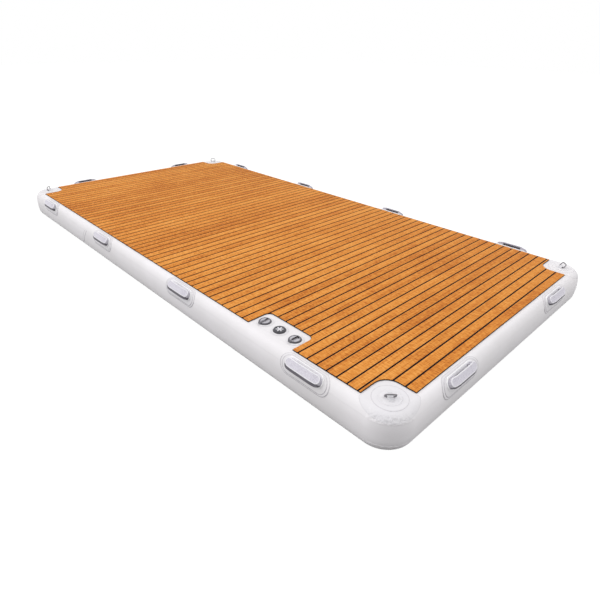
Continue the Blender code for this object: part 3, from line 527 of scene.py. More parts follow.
def carve(piece: Piece, operation: str, tool: Piece) -> Piece:
    """Joins, cuts or trims a piece with a tool, which goes.

    Args:
        piece: The piece that is changed.
        operation: UNION, DIFFERENCE or INTERSECT.
        tool: The tool's object.

    Returns:
        The piece.
    """
    cut = piece.modifiers.new(operation, "BOOLEAN")
    cut.operation = operation
    cut.solver = "EXACT"
    cut.object = tool
    settled(piece)
    bpy.data.objects.remove(tool)
    return piece


def soften(piece: Piece, width: float, segments: int, angle: float = 35.0) -> Piece:
    """Rounds a piece's edges, as a mould or a router does.

    Args:
        piece: The piece.
        width: Width of the rounding in metres.
        segments: Faces across the rounding.
        angle: Angle in degrees past which an edge is rounded.

    Returns:
        The piece.
    """
    bevel = piece.modifiers.new("rounding", "BEVEL")
    bevel.width = width
    bevel.segments = segments
    bevel.limit_method = "ANGLE"
    bevel.angle_limit = math.radians(angle)
    settled(piece)
    shaded(piece.data, 50)
    return piece


def grown(base: Piece, tree: Tree, values: dict[str, Any]) -> Piece:
    """Runs a Geometry Nodes tree on a base mesh and keeps the result as its plain mesh.

    Args:
        base: The object whose mesh the tree starts from.
        tree: The tree.
        values: The tree's inputs by name.

    Returns:
        The base object with its new mesh.
    """
    modifier = base.modifiers.new(tree.name, "NODES")
    modifier.node_group = tree
    for item in tree.interface.items_tree:
        if item.item_type == "SOCKET" and item.in_out == "INPUT" and item.name in values:
            modifier[item.identifier] = values[item.name]
    return settled(base)


def put(
    piece: Piece, finish: Finish, body: str = "hull", replaced: Sequence[str] = (), count: str = ""
) -> Piece:
    """Gives a piece its finish and the body that it moves with.

    Args:
        piece: The finished piece.
        finish: Its finish.
        body: The body that it rides on.
        replaced: The CAD nodes that it stands for.
        count: A word on what repeats in it, for the log.

    Returns:
        The piece.
    """
    piece.data.materials.clear()
    piece.data.materials.append(finish.material)
    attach(piece, body)
    if replaced:
        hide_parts(*replaced)
    log.info("%s: %d faces, %s%s", piece.name, len(piece.data.polygons), finish.name, count and f", {count}")
    return piece


def arc(centre: Flat, radius: float, start: float, end: float, steps: int) -> Outline:
    """Points on an arc about centre, from the start to the end angle in degrees."""
    angles = [math.radians(start + (end - start) * step / steps) for step in range(steps + 1)]
    return [(centre[0] + radius * math.cos(a), centre[1] + radius * math.sin(a)) for a in angles]


def stadium(length: float, width: float, steps: int, straight: int = 1) -> Outline:
    """Outline with half round ends and straight sides along x.

    Args:
        length: Length over the ends.
        width: Width across.
        steps: Steps round each end.
        straight: Stretches that each straight side is divided into.

    Returns:
        The outline, anticlockwise.
    """
    reach = (length - width) / 2
    right = arc((reach, 0), width / 2, -90, 90, steps)
    left = arc((-reach, 0), width / 2, 90, 270, steps)
    upper = [(reach - 2 * reach * i / straight, width / 2) for i in range(1, straight)]
    lower = [(-reach + 2 * reach * i / straight, -width / 2) for i in range(1, straight)]
    return right + upper + left + lower


def inset(outline: Outline, distance: float) -> Outline:
    """The outline moved inwards, each point along the mean of its two edges' normals."""
    moved = []
    for i, (x, y) in enumerate(outline):
        before, after = outline[i - 1], outline[(i + 1) % len(outline)]
        first = Vector((x - before[0], y - before[1])).normalized()
        second = Vector((after[0] - x, after[1] - y)).normalized()
        normal = Vector((-first.y - second.y, first.x + second.x))
        if normal.length < 1e-9:
            normal = Vector((-first.y, first.x))
        normal.normalize()
        share = max(normal.dot(Vector((-first.y, first.x))), 0.4)
        moved.append((x + normal.x * distance / share, y + normal.y * distance / share))
    return moved


def inside(point: Flat, outline: Outline) -> bool:
    """Whether a point lies within an outline."""
    x, y = point
    found = False
    for (ax, ay), (bx, by) in zip(outline, outline[1:] + outline[:1]):
        if (ay > y) != (by > y) and x < (bx - ax) * (y - ay) / (by - ay) + ax:
            found = not found
    return found


@dataclass(frozen=True)
class Fill:
    """A flat region divided into triangles, whose rings step in from its outline."""

    flat: list[Flat]
    levels: list[int]
    triangles: list[tuple[int, ...]]

    @classmethod
    def of(cls, outline: Outline, steps: Sequence[float], spacing: float, holes: Sequence[Outline] = ()) -> "Fill":
        """Divides a region.

        Args:
            outline: The region's outline, anticlockwise.
            steps: How far each ring lies inside the outline, the first being 0.
            spacing: Distance between the points within.
            holes: Outlines that are left open.

        Returns:
            The region, where a point's level is its ring's number, or the number of rings within.
        """
        rings = [inset(outline, step) for step in steps]
        flat: list[Flat] = []
        levels: list[int] = []
        edges: list[tuple[int, int]] = []
        for level, ring in list(enumerate(rings)) + [(len(rings), hole) for hole in holes]:
            start = len(flat)
            flat += ring
            levels += [level] * len(ring)
            edges += [(start + i, start + (i + 1) % len(ring)) for i in range(len(ring))]
        room = inset(outline, steps[-1] + spacing / 2)
        xs, ys = [p[0] for p in outline], [p[1] for p in outline]
        for column in range(int((max(xs) - min(xs)) / spacing) + 1):
            for row in range(int((max(ys) - min(ys)) / spacing) + 1):
                point = (min(xs) + (column + row % 2 / 2) * spacing, min(ys) + row * spacing)
                if inside(point, room) and not any(inside(point, hole) for hole in holes):
                    flat.append(point)
                    levels.append(len(rings))
        result = delaunay_2d_cdt([Vector(point) for point in flat], edges, [], 0, 1e-9)
        places = [(point.x, point.y) for point in result[0]]
        kept = [levels[origins[0]] if origins else len(rings) for origins in result[3]]
        triangles = []
        for face in result[2]:
            middle = (sum(places[i][0] for i in face) / 3, sum(places[i][1] for i in face) / 3)
            if inside(middle, outline) and not any(inside(middle, hole) for hole in holes):
                triangles.append(tuple(face))
        return cls(places, kept, triangles)


def draped(
    name: str,
    outline: Outline,
    drape: Drape,
    low: float,
    high: float,
    spacing: float,
    rim: float = 0.005,
    glue_and_shadow: tuple[float, float] = (1.0, 1.0),
) -> Piece:
    """A layer of cloth glued over a surface, with its edge pressed down.

    Args:
        name: The piece's name.
        outline: Its outline as it was cut, anticlockwise.
        drape: Gives the point of the surface for a flat point and a lift.
        low: Lift of its underside.
        high: Lift of its face.
        spacing: Distance between its points.
        rim: Width of the band along its edge: on cloth, the grey edge line, partly painted shadow; on moulded rubber,
            a painted highlight.
        glue_and_shadow: How strongly the grey edge line, partly painted shadow, marks it on the hull's flat top, and
            low on its side.

    Returns:
        The piece, a closed body.
    """
    steps = (0.0, 0.0003, 0.0022, rim)
    lifts = (low, low + (high - low) * 0.75, high, high, high)
    values = (1.7, 1.7, 1.5, 0.0, 0.0)
    fill = Fill.of(outline, steps, spacing)
    draft = Draft(name)
    upper = []
    for place, level in zip(fill.flat, fill.levels):
        point = drape(*place, lifts[level])
        # Lower on the side the edge line is stronger, as the painted shadow of the edge's step
        share = between(point.z, 0.205, 0.170)
        upper += draft.add_points([point], values[level] * (glue_and_shadow[0] + (glue_and_shadow[1] - glue_and_shadow[0]) * share))
    lower = []
    for number, (place, level) in enumerate(zip(fill.flat, fill.levels)):
        lower += [upper[number]] if level == 0 else draft.add_points([drape(*place, low)])
    for triangle in fill.triangles:
        for numbers, order in ((upper, triangle), (lower, triangle[::-1])):
            draft.faces.append(tuple(numbers[i] for i in order))
            draft.cloth.append(tuple(fill.flat[i] for i in order))
    return draft.build(weld=1e-8)


def turned(name: str, profile: Sequence[Flat], sides: int, centre: Vector, loop: bool = False) -> Piece:
    """A piece turned about an upright axis.

    Args:
        name: The piece's name.
        profile: (radius, height) points.
        sides: Faces round it.
        centre: Where the profile's origin lies.
        loop: Whether the profile closes on itself, as a ring's does.

    Returns:
        The piece.
    """
    turns = [math.tau * side / sides for side in range(sides)]
    rows = [[centre + Vector((r * math.cos(t), r * math.sin(t), z)) for t in turns] for r, z in profile]
    widest = max(r for r, _ in profile)
    lengths = [0.0]
    for (r, z), (s, y) in zip(profile, list(profile[1:]) + [profile[0]]):
        lengths.append(lengths[-1] + math.hypot(s - r, y - z))
    draft = Draft(name)
    along = [widest * math.tau * side / sides for side in range(sides + 1)]
    draft.add_rows(rows, along, lengths, loop=loop, capped=not loop)
    return draft.build()


def corners(low: Sequence[float], high: Sequence[float]) -> Outline:
    """A rectangle's four corners, anticlockwise from the lowest."""
    return [(low[0], low[1]), (high[0], low[1]), (high[0], high[1]), (low[0], high[1])]


def prism(name: str, section: Outline, ends: Flat, axis: str = "z") -> Piece:
    """A closed prism.

    Args:
        name: The piece's name.
        section: Its section, in the order of the other two axes.
        ends: Where it starts and ends along its axis.
        axis: Its axis, as x, y or z.

    Returns:
        The piece.
    """
    rows = []
    for end in ends:
        spots = [list(corner) for corner in section]
        for spot in spots:
            spot.insert("xyz".index(axis), end)
        rows.append([Vector(spot) for spot in spots])
    draft = Draft(name)
    draft.add_rows(rows, capped=True)
    return draft.build()


def rounded_block(name: str, low: Sequence[float], high: Sequence[float], radius: float) -> Piece:
    """A block between two corners with rounded edges, as moulded."""
    return soften(prism(name, corners(low, high), (low[2], high[2])), radius, 3)


def merged(name: str, parts: Sequence[Piece]) -> Piece:
    """One piece that holds the meshes of several, which go."""
    work = bmesh.new()
    for part in parts:
        work.from_mesh(part.data)
        bpy.data.objects.remove(part)
    mesh = bpy.data.meshes.new(name)
    work.to_mesh(mesh)
    work.free()
    return shown(name, shaded(mesh, 40))


def copied(piece: Piece, name: str, matrix: Matrix) -> Piece:
    """A copy of a piece with a mesh of its own, put through a matrix."""
    mesh = piece.data.copy()
    mesh.transform(matrix)
    return shown(name, mesh)


class Trees:
    """The Geometry Nodes trees that make what repeats."""

    @staticmethod
    def start(name: str, sizes: Sequence[str], **others: str) -> tuple[Tree, Any]:
        """Starts a tree.

        Args:
            name: The tree's name.
            sizes: The names of its inputs in metres and radians.
            others: The kind of socket of each other input.

        Returns:
            The tree and the sockets of its inputs.
        """
        tree = bpy.data.node_groups.new(name, "GeometryNodeTree")
        tree.interface.new_socket("Geometry", in_out="OUTPUT", socket_type="NodeSocketGeometry")
        kinds = {"Geometry": "Geometry"} | dict.fromkeys(sizes, "Float") | others | {"Finish": "Material"}
        for label, kind in kinds.items():
            tree.interface.new_socket(label, in_out="INPUT", socket_type=f"NodeSocket{kind}")
        return tree, tree.nodes.new("NodeGroupInput").outputs

    @staticmethod
    def end(tree: Tree, shape: Node, given: Any) -> Tree:
        """Ends a tree with its material and output, and returns it."""
        dressed = add(tree, "GeometryNodeSetMaterial", {0: shape, "Material": given["Finish"]})
        add(tree, "NodeGroupOutput", {0: dressed})
        return tree

    @classmethod
    def strips(cls) -> Tree:
        """Strips side by side, trimmed to the outline of the mesh that the tree starts from."""
        tree, given = cls.start("foam_strips", ("Pitch", "Width", "Reach", "First", "Low", "High"), Count="Int")
        levels = {0: given["High"], 1: given["Low"]}
        tall = add(tree, "ShaderNodeMath", levels, operation="SUBTRACT")
        both = add(tree, "ShaderNodeMath", levels, operation="ADD")
        middle = add(tree, "ShaderNodeMath", {0: both, 1: 0.5}, operation="MULTIPLY")
        size = add(tree, "ShaderNodeCombineXYZ", {0: given["Width"], 1: given["Reach"], 2: tall})
        start = add(tree, "ShaderNodeCombineXYZ", {0: given["First"], 2: middle})
        step = add(tree, "ShaderNodeCombineXYZ", {0: given["Pitch"]})
        strip = add(tree, "GeometryNodeMeshCube", {"Size": size})
        inputs = {"Count": given["Count"], "Start Location": start, "Offset": step}
        line = add(tree, "GeometryNodeMeshLine", inputs)
        laid = add(tree, "GeometryNodeInstanceOnPoints", {"Points": line, "Instance": strip})
        real = add(tree, "GeometryNodeRealizeInstances", {0: laid})
        trim = add(tree, "GeometryNodeMeshBoolean", {1: real}, operation="INTERSECT", solver="EXACT")
        feed(tree, trim, {1: given["Geometry"]})
        return cls.end(tree, trim, given)

    @classmethod
    def stitches(cls) -> Tree:
        """Stitches along the edges of the mesh that the tree starts from."""
        tree, given = cls.start("stitch_rows", ("Pitch", "Long", "Thick"))
        path = add(tree, "GeometryNodeMeshToCurve", {0: given["Geometry"]})
        spaced = add(tree, "GeometryNodeCurveToPoints", {"Curve": path, "Length": given["Pitch"]}, mode="LENGTH")
        grain = add(tree, "GeometryNodeMeshUVSphere", {"Segments": 6, "Rings": 4, "Radius": 0.5})
        size = add(tree, "ShaderNodeCombineXYZ", {0: given["Thick"], 1: given["Thick"], 2: given["Long"]})
        inputs = {"Points": spaced, "Instance": grain, "Rotation": spaced.outputs["Rotation"], "Scale": size}
        laid = add(tree, "GeometryNodeInstanceOnPoints", inputs)
        return cls.end(tree, add(tree, "GeometryNodeRealizeInstances", {0: laid}), given)

    @classmethod
    def round_row(cls, cut: bool) -> Tree:
        """Blocks evenly round an upright axis, which cut the mesh that the tree starts from or stand on it."""
        name = "slots_round_an_axis" if cut else "ribs_round_an_axis"
        tree, given = cls.start(name, ("Radius", "Long", "Wide", "Deep", "Turn"), Count="Int", Middle="Vector")
        size = add(tree, "ShaderNodeCombineXYZ", {0: given["Long"], 1: given["Wide"], 2: given["Deep"]})
        block = add(tree, "GeometryNodeMeshCube", {"Size": size})
        circle = add(tree, "GeometryNodeMeshCircle", {"Vertices": given["Count"], "Radius": given["Radius"]})
        number = add(tree, "GeometryNodeInputIndex", {})
        share = add(tree, "ShaderNodeMath", {0: number, 1: given["Count"]}, operation="DIVIDE")
        angle = add(tree, "ShaderNodeMath", {0: share, 1: math.tau}, operation="MULTIPLY")
        outwards = add(tree, "ShaderNodeCombineXYZ", {2: angle})
        inputs = {"Points": circle, "Instance": block, "Rotation": outwards}
        laid = add(tree, "GeometryNodeInstanceOnPoints", inputs)
        real = add(tree, "GeometryNodeRealizeInstances", {0: laid})
        turn = add(tree, "ShaderNodeCombineXYZ", {2: given["Turn"]})
        inputs = {0: real, "Translation": given["Middle"], "Rotation": turn}
        spot = add(tree, "GeometryNodeTransform", inputs)
        if cut:
            # The blocks overlap in the middle, so the boolean has to look for that
            inputs = {0: given["Geometry"], 1: spot, "Self Intersection": True}
            whole = add(tree, "GeometryNodeMeshBoolean", inputs, operation="DIFFERENCE", solver="EXACT")
        else:
            whole = add(tree, "GeometryNodeJoinGeometry", {0: spot})
            feed(tree, whole, {0: given["Geometry"]})
        return cls.end(tree, whole, given)


class Station(NamedTuple):
    """A place on the hull's side: its offset and height, and the way out of the cloth there."""

    offset: float
    height: float
    out: float
    up: float


@dataclass(frozen=True)
class Column:
    """A place on the flat top's edge, the way out from it and its distance round the hull."""

    x: float
    y: float
    out_x: float
    out_y: float
    round: float
    corner: float


@dataclass(frozen=True)
class HullForm:
    """The inflated hull's surface: flat above and below, with a side blown out to a smooth bulge."""

    length: float = 4.10
    width: float = 2.05
    thickness: float = 0.20
    corner_radius: float = 0.14
    bulge: float = 0.045
    swell: float = 0.005
    exponent: float = 2.2
    lower_exponent: float = 2.8
    samples: int = 240

    @property
    def flat_half_x(self) -> float:
        """Half length of the flat top."""
        return self.length / 2 - self.bulge

    @property
    def flat_half_y(self) -> float:
        """Half width of the flat top."""
        return self.width / 2 - self.bulge

    @property
    def flat_radius(self) -> float:
        """Corner radius of the flat top."""
        return self.corner_radius - self.bulge

    @property
    def inner(self) -> Flat:
        """The middle of the bend of the flat top's corner at +X and +Y."""
        return self.flat_half_x - self.flat_radius, self.flat_half_y - self.flat_radius

    @cached_property
    def side(self) -> tuple[list[float], list[Station]]:
        """Distances down the side from the flat top's edge, and the station at each."""
        half = self.thickness / 2
        points = []
        for step in range(self.samples + 1):
            angle = math.pi / 2 - math.pi * step / self.samples
            power = 2 / (self.exponent if angle > 0 else self.lower_exponent)
            across = max(math.cos(angle), 0.0) ** power
            upright = math.copysign(abs(math.sin(angle)) ** power, angle)
            points.append(((self.bulge + self.swell) * across, half + half * upright))
        distances, stations = [0.0], []
        for here, after in zip(points, points[1:]):
            distances.append(distances[-1] + math.dist(here, after))
        for i, (offset, height) in enumerate(points):
            back, ahead = points[max(i - 1, 0)], points[min(i + 1, self.samples)]
            reach = math.dist(back, ahead)
            stations.append(Station(offset, height, (back[1] - ahead[1]) / reach, (ahead[0] - back[0]) / reach))
        stations[0] = Station(0.0, self.thickness, 0.0, 1.0)
        stations[-1] = Station(0.0, 0.0, 0.0, -1.0)
        return distances, stations

    @property
    def girth(self) -> float:
        """Length of the side from the flat top's edge to the flat bottom's."""
        return self.side[0][-1]

    def at(self, down: float) -> Station:
        """The station at a distance down the side, negative on the flat top."""
        distances, stations = self.side
        if down <= 0:
            return Station(down, self.thickness, 0.0, 1.0)
        if down >= self.girth:
            return Station(self.girth - down, 0.0, 0.0, -1.0)
        after = bisect.bisect_right(distances, down)
        share = (down - distances[after - 1]) / (distances[after] - distances[after - 1])
        first, second = stations[after - 1], stations[after]
        offset, height, out, up = (a + (b - a) * share for a, b in zip(first, second))
        reach = math.hypot(out, up)
        return Station(offset, height, out / reach, up / reach)

    def down_to(self, height: float) -> float:
        """Distance down the side to a height."""
        low, high = 0.0, self.girth
        for _ in range(50):
            middle = (low + high) / 2
            low, high = (middle, high) if self.at(middle).height > height else (low, middle)
        return low

    def past(self, x: float, y: float) -> Flat:
        """How far a place lies past the middle of its corner's bend, along x and along y."""
        return abs(x) - self.inner[0], abs(y) - self.inner[1]

    def drape(self, x: float, y: float, lift: float) -> Vector:
        """The surface's point for a point of flat cloth laid from the top over the side.

        Args:
            x: Place along the hull, measured on the cloth.
            y: Place across it, measured on the cloth.
            lift: Distance out from the hull's surface.

        Returns:
            The point.
        """
        past_x, past_y = self.past(x, y)
        if past_x > 0 and past_y > 0:
            reach = math.hypot(past_x, past_y)
            down = reach - self.flat_radius
            out = (math.copysign(past_x / reach, x), math.copysign(past_y / reach, y))
        elif past_x > past_y:
            down, out = past_x - self.flat_radius, (math.copysign(1, x), 0.0)
        else:
            down, out = past_y - self.flat_radius, (0.0, math.copysign(1, y))
        station = self.at(down)
        push = station.offset - down + station.out * lift
        return Vector((x + out[0] * push, y + out[1] * push, station.height + station.up * lift))

    def drawn(self, point: Vector) -> float:
        """How strongly cloth is drawn in, from 0 on the flat to 1 low on a corner's shoulder."""
        past_x, past_y = self.past(point.x, point.y)
        if past_x <= 0 or past_y <= 0:
            return 0.0
        return between(point.z, 0.197, 0.182) * math.sin(math.atan2(past_y, past_x) * 2) ** 0.3

    def painted_shade(self, point: Vector) -> float:
        """How much painted shade greys the wall: under the layers that end on a corner's shoulder, and by the ground.
        """
        past_x, past_y = self.past(point.x, point.y)
        ground = between(point.z, 0.030, 0.008)
        if ground > 0 or past_x <= 0 or past_y <= 0:
            return ground
        share = min(between(point.z, 0.170, 0.160), between(point.z, 0.075, 0.160))
        return share * math.sin(math.atan2(past_y, past_x) * 2) ** 0.8

    @staticmethod
    def mark(piece: Piece, name: str, measure: Callable[[Vector], float]) -> Piece:
        """Stores a measure of each of a piece's points as an attribute, and returns the piece."""
        values = [measure(vertex.co) for vertex in piece.data.vertices]
        piece.data.attributes.new(name, "FLOAT", "POINT").data.foreach_set("value", values)
        return piece

    def columns(self, straight: float, steps: int) -> list[Column]:
        """Places round the flat top's edge, anticlockwise from the near right corner.

        Args:
            straight: Largest distance between places on a straight side.
            steps: Steps round each corner.

        Returns:
            The places, whose corner value is 1 in the middle of a corner and 0 off it.
        """
        radius = self.flat_radius
        inner_x, inner_y = self.inner
        found: list[Column] = []
        walked = 0.0
        for number, (side_x, side_y) in enumerate(((1, -1), (1, 1), (-1, 1), (-1, -1))):
            centre, start = (side_x * inner_x, side_y * inner_y), 90 * number - 90
            for step in range(steps + 1):
                angle = math.radians(start + 90 * step / steps)
                out = (math.cos(angle), math.sin(angle))
                share = math.sin(math.pi * step / steps)
                x, y = centre[0] + radius * out[0], centre[1] + radius * out[1]
                found.append(Column(x, y, *out, walked + self.corner_radius * math.pi / 2 * step / steps, share))
            walked += self.corner_radius * math.pi / 2
            side = 2 * (inner_y if number % 2 == 0 else inner_x)
            pieces = math.ceil(side / straight)
            last = found[-1]
            for piece in range(1, pieces):
                go = side * piece / pieces
                x, y = last.x - last.out_y * go, last.y + last.out_x * go
                found.append(Column(x, y, last.out_x, last.out_y, walked + go, 0.0))
            walked += side
        return found

    def around(self, columns: Sequence[Column]) -> list[float]:
        """Cloth coordinate of each column, and of the first one again at the end."""
        inner_x, inner_y = self.inner
        whole = 4 * inner_x + 4 * inner_y + self.corner_radius * math.tau
        return [column.round for column in columns] + [whole]

    @staticmethod
    def point(column: Column, station: Station, lift: float) -> Vector:
        """The point of a column at a station, lifted off the surface."""
        out = station.offset + station.out * lift
        x, y = column.x + column.out_x * out, column.y + column.out_y * out
        return Vector((x, y, station.height + station.up * lift))


@dataclass
class Hull:
    """The hull's skin, its two seam tapes and the lap where the side wall's band closes."""

    form: HullForm
    palette: Palette
    valve_places: Sequence[Flat]
    skin_lift: float = -0.0006
    tape_lift: float = 0.0002
    bottom_tape_lift: float = -0.0004
    tape_overlap: float = 0.030
    tape_edge_height: float = 0.155
    pleat_top: float = 0.1825
    pleat_pitch: float = 0.022
    pleat_rise: float = 0.0011
    valve_hole: float = 0.0228
    lap_x: float = -0.865
    lap_slant: float = 0.090
    lap_width: float = 0.034
    lap_high: float = 0.160
    lap_low: float = 0.046

    def build(self) -> None:
        """Builds and dresses every piece of the hull."""
        form, palette = self.form, self.palette
        # The skin gets painted shade under the corners' layers and along the ground edge
        skin = form.mark(self.skin(), "painted_shade", form.painted_shade)
        put(skin, palette.cloth, replaced=("drop_stitch_core", "side_wall"))
        upturned = replace(form, exponent=form.lower_exponent, lower_exponent=form.exponent)
        top = self.tape("seam_tape_top_cloth", form, self.tape_lift, False)
        put(form.mark(top, "drawn", form.drawn), palette.tape, replaced=("seam_tape_top",))
        bottom = self.tape("seam_tape_bottom_cloth", upturned, self.bottom_tape_lift, True)
        # The bottom tape gets painted shade along the ground edge
        put(form.mark(bottom, "painted_shade", form.painted_shade), palette.tape, replaced=("seam_tape_bottom",))
        put(self.lap(), palette.tape)

    def skin(self) -> Piece:
        """The two cloths and the side wall as one closed skin with holes for the valves."""
        form, girth = self.form, self.form.girth
        columns = form.columns(0.060, 28)
        steps = 44
        wall = [girth * step / steps for step in range(1, steps)]
        down = [-0.05, -0.02, 0.0, *wall, girth, girth + 0.02, girth + 0.05]
        rows = [[form.point(column, form.at(d), self.skin_lift) for column in columns] for d in down]
        draft = Draft("hull_skin")
        draft.add_rows(rows, form.around(columns), down)
        outline = [(point.x, point.y) for point in rows[0]]
        holes = [arc(place, self.valve_hole, 0, 360, 32)[:-1] for place in self.valve_places]
        for openings, height in ((holes, form.thickness + self.skin_lift), ([], -self.skin_lift)):
            fill = Fill.of(outline, (0.0,), 0.16, openings)
            draft.add_patchwork([Vector((x, y, height)) for x, y in fill.flat], fill.flat, fill.triangles)
        return draft.build(sharp=50, weld=1e-5)

    def pleats(self, column: Column, down: float) -> float:
        """How far the tape's pleats lift it at a place, where it is drawn in round a corner."""
        start, end = self.form.down_to(self.pleat_top), self.form.down_to(self.tape_edge_height)
        share = between(down, start, end)
        if column.corner <= 0 or share <= 0:
            return 0.0
        phase = column.round / self.pleat_pitch + 0.35 * math.sin(column.round * 61)
        wave = abs(math.sin(math.pi * phase)) ** 0.7
        uneven = 0.7 + 0.3 * math.sin(column.round * 173 + 1.3)
        return self.pleat_rise * wave * uneven * column.corner**0.4 * math.sin(share * math.pi / 2)

    def tape(self, name: str, form: HullForm, face: float, flip: bool) -> Piece:
        """One seam tape round the hull.

        Args:
            name: The piece's name.
            form: The surface that it lies on.
            face: Lift of its outer face.
            flip: Whether it is then turned over to the bottom edge.

        Returns:
            The piece.
        """
        columns = form.columns(0.060, 56)
        edge = form.down_to(self.tape_edge_height)
        start = -self.tape_overlap
        inner = [start, start + 0.0004, start + 0.0015, start + 0.006, -0.012, 0.0]
        spread = [edge * share / 22 for share in range(1, 22)]
        outer = [edge - 0.004, edge - 0.0015, edge - 0.0004, edge]
        faces = inner + [d for d in spread if d < edge - 0.006] + outer
        part = self.skin_lift + (face - self.skin_lift) * 0.75
        lifts = [self.skin_lift, part] + [face] * (len(faces) - 4) + [part, self.skin_lift]
        rims = [0.4, 0.4, 0.2, 0.0] + [0.0] * (len(faces) - 4)
        rows = []
        for down, lift in zip(faces, lifts):
            row = []
            for column in columns:
                wobble = 0.0012 * column.corner * math.sin(column.round * 210) if down > edge - 0.003 else 0.0
                rise = lift + self.pleats(column, down) * (1.0 if lift > self.skin_lift else 0.4)
                row.append(form.point(column, form.at(down + wobble), rise))
            rows.append(row)
        low = self.skin_lift - 0.0006
        under = [[form.point(column, form.at(down), low) for column in columns] for down in faces[::-1]]
        draft = Draft(name)
        across = faces + [edge + 0.01 + (edge - d) for d in faces[::-1]] + [edge * 2 + 0.05]
        draft.add_rows(rows + under, form.around(columns), across, loop=True, rims=rims + [0.0] * len(under))
        if flip:
            middle = form.thickness
            draft.points = [Vector((p.x, p.y, middle - p.z)) for p in draft.points]
        return draft.build(sharp=60)

    def lap(self) -> Piece:
        """The slanted lap on the near side where the two ends of the side wall's band overlap."""
        form = self.form
        high, low = form.down_to(self.lap_high), form.down_to(self.lap_low)
        left: Outline = []
        for share in (step / 10 for step in range(11)):
            x = self.lap_x + self.lap_slant * (0.5 - share) - self.lap_width / 2
            left.append((x, -(form.flat_half_y + high + (low - high) * share)))
        outline = left + [(x + self.lap_width, y) for x, y in reversed(left)]
        low = self.skin_lift - 0.0004
        return draped("side_wall_lap", outline, form.drape, low, low + 0.0012, 0.010, glue_and_shadow=(1.3, 1.3))


@dataclass
class Deck:
    """The foam deck: a black layer, and over it teak coloured planks between black lines."""

    form: HullForm
    palette: Palette
    margin_x: float = 0.059
    margin_y: float = 0.057
    low: float = 0.2003
    layer: float = 0.003
    gap: float = 0.0003
    black_edge: float = 0.002
    pitch: float = 0.0588
    line_width: float = 0.0087
    line_depth: float = 0.0006
    line_inset: float = 0.0004
    rounding: float = 0.0005
    plank_rounding: float = 0.0004
    strip_spare: float = 0.01
    notch_length: float = 0.156
    notch_width: float = 0.165
    notch_radius: float = 0.075
    cutout_middle: float = 1.270
    cutout_half: float = 0.1645
    cutout_width: float = 0.141
    cutout_radius: float = 0.035

    @property
    def half_x(self) -> float:
        """Half length of the deck."""
        return self.form.length / 2 - self.margin_x

    @property
    def half_y(self) -> float:
        """Half width of the deck."""
        return self.form.width / 2 - self.margin_y

    def notch(self, grow: float, steps: int) -> Outline:
        """The edge of the notch at the corner on +X and +Y, from the deck's long side to its short one."""
        start_x = self.half_x - self.notch_length + grow
        start_y = self.half_y - self.notch_width + grow
        turn = self.notch_radius - grow
        bend = arc((start_x + turn, start_y + turn), turn, 180, 270, steps)
        return [(start_x, self.half_y + grow)] + bend + [(self.half_x + grow, start_y)]

    def outline(self, grow: float) -> Outline:
        """The deck's outline with its notches and the valve cutout.

        Args:
            grow: How far it is moved outwards.

        Returns:
            The outline, anticlockwise.
        """
        y = self.half_y + grow
        quarter = self.notch(grow, 14)
        left, right = (self.cutout_middle + side * (self.cutout_half - grow) for side in (-1, 1))
        inner = self.cutout_width - self.half_y - grow
        bend = self.cutout_radius - grow
        cutout = [(left, -y)] + arc((left + bend, inner - bend), bend, 180, 90, 8)
        cutout += arc((right - bend, inner - bend), bend, 90, 0, 8) + [(right, -y)]
        around = quarter[::-1] + [(-px, py) for px, py in quarter]
        around += [(-px, -py) for px, py in reversed(quarter)]
        return around + cutout + [(px, -py) for px, py in quarter]

    def build(self) -> None:
        """Builds and dresses the deck's layers."""
        base = self.low + self.layer
        floor = base + self.gap
        top = floor + self.layer
        underlay = prism("deck_black_layer", self.outline(self.black_edge), (self.low, base))
        put(soften(underlay, self.rounding, 2), self.palette.black, replaced=("deck_underlay",))
        tree = Trees.strips()
        count = 2 * int(self.half_x / self.pitch) + 1
        shared = {"Pitch": self.pitch, "Reach": self.half_y * 2 + 0.1}
        shared |= {"Low": floor - self.strip_spare, "High": top + self.strip_spare}
        planks = prism("deck_planks", self.outline(0.0), (floor, top))
        values = {"Width": self.pitch - self.line_width, "First": -(count / 2) * self.pitch, "Count": count + 1}
        grown(planks, tree, shared | values | {"Finish": self.palette.teak.material})
        soften(planks, self.plank_rounding, 2, angle=60)
        put(planks, self.palette.teak, replaced=("deck_teak",), count=f"{count + 1} planks")
        ends = (base - self.line_inset, top - self.line_depth)
        lines = prism("deck_caulk_lines", self.outline(-self.line_inset), ends)
        values = {"Width": self.line_width - 0.0001, "First": -(count // 2) * self.pitch, "Count": count}
        grown(lines, tree, shared | values | {"Finish": self.palette.black.material})
        put(lines, self.palette.black, count=f"{count} lines")


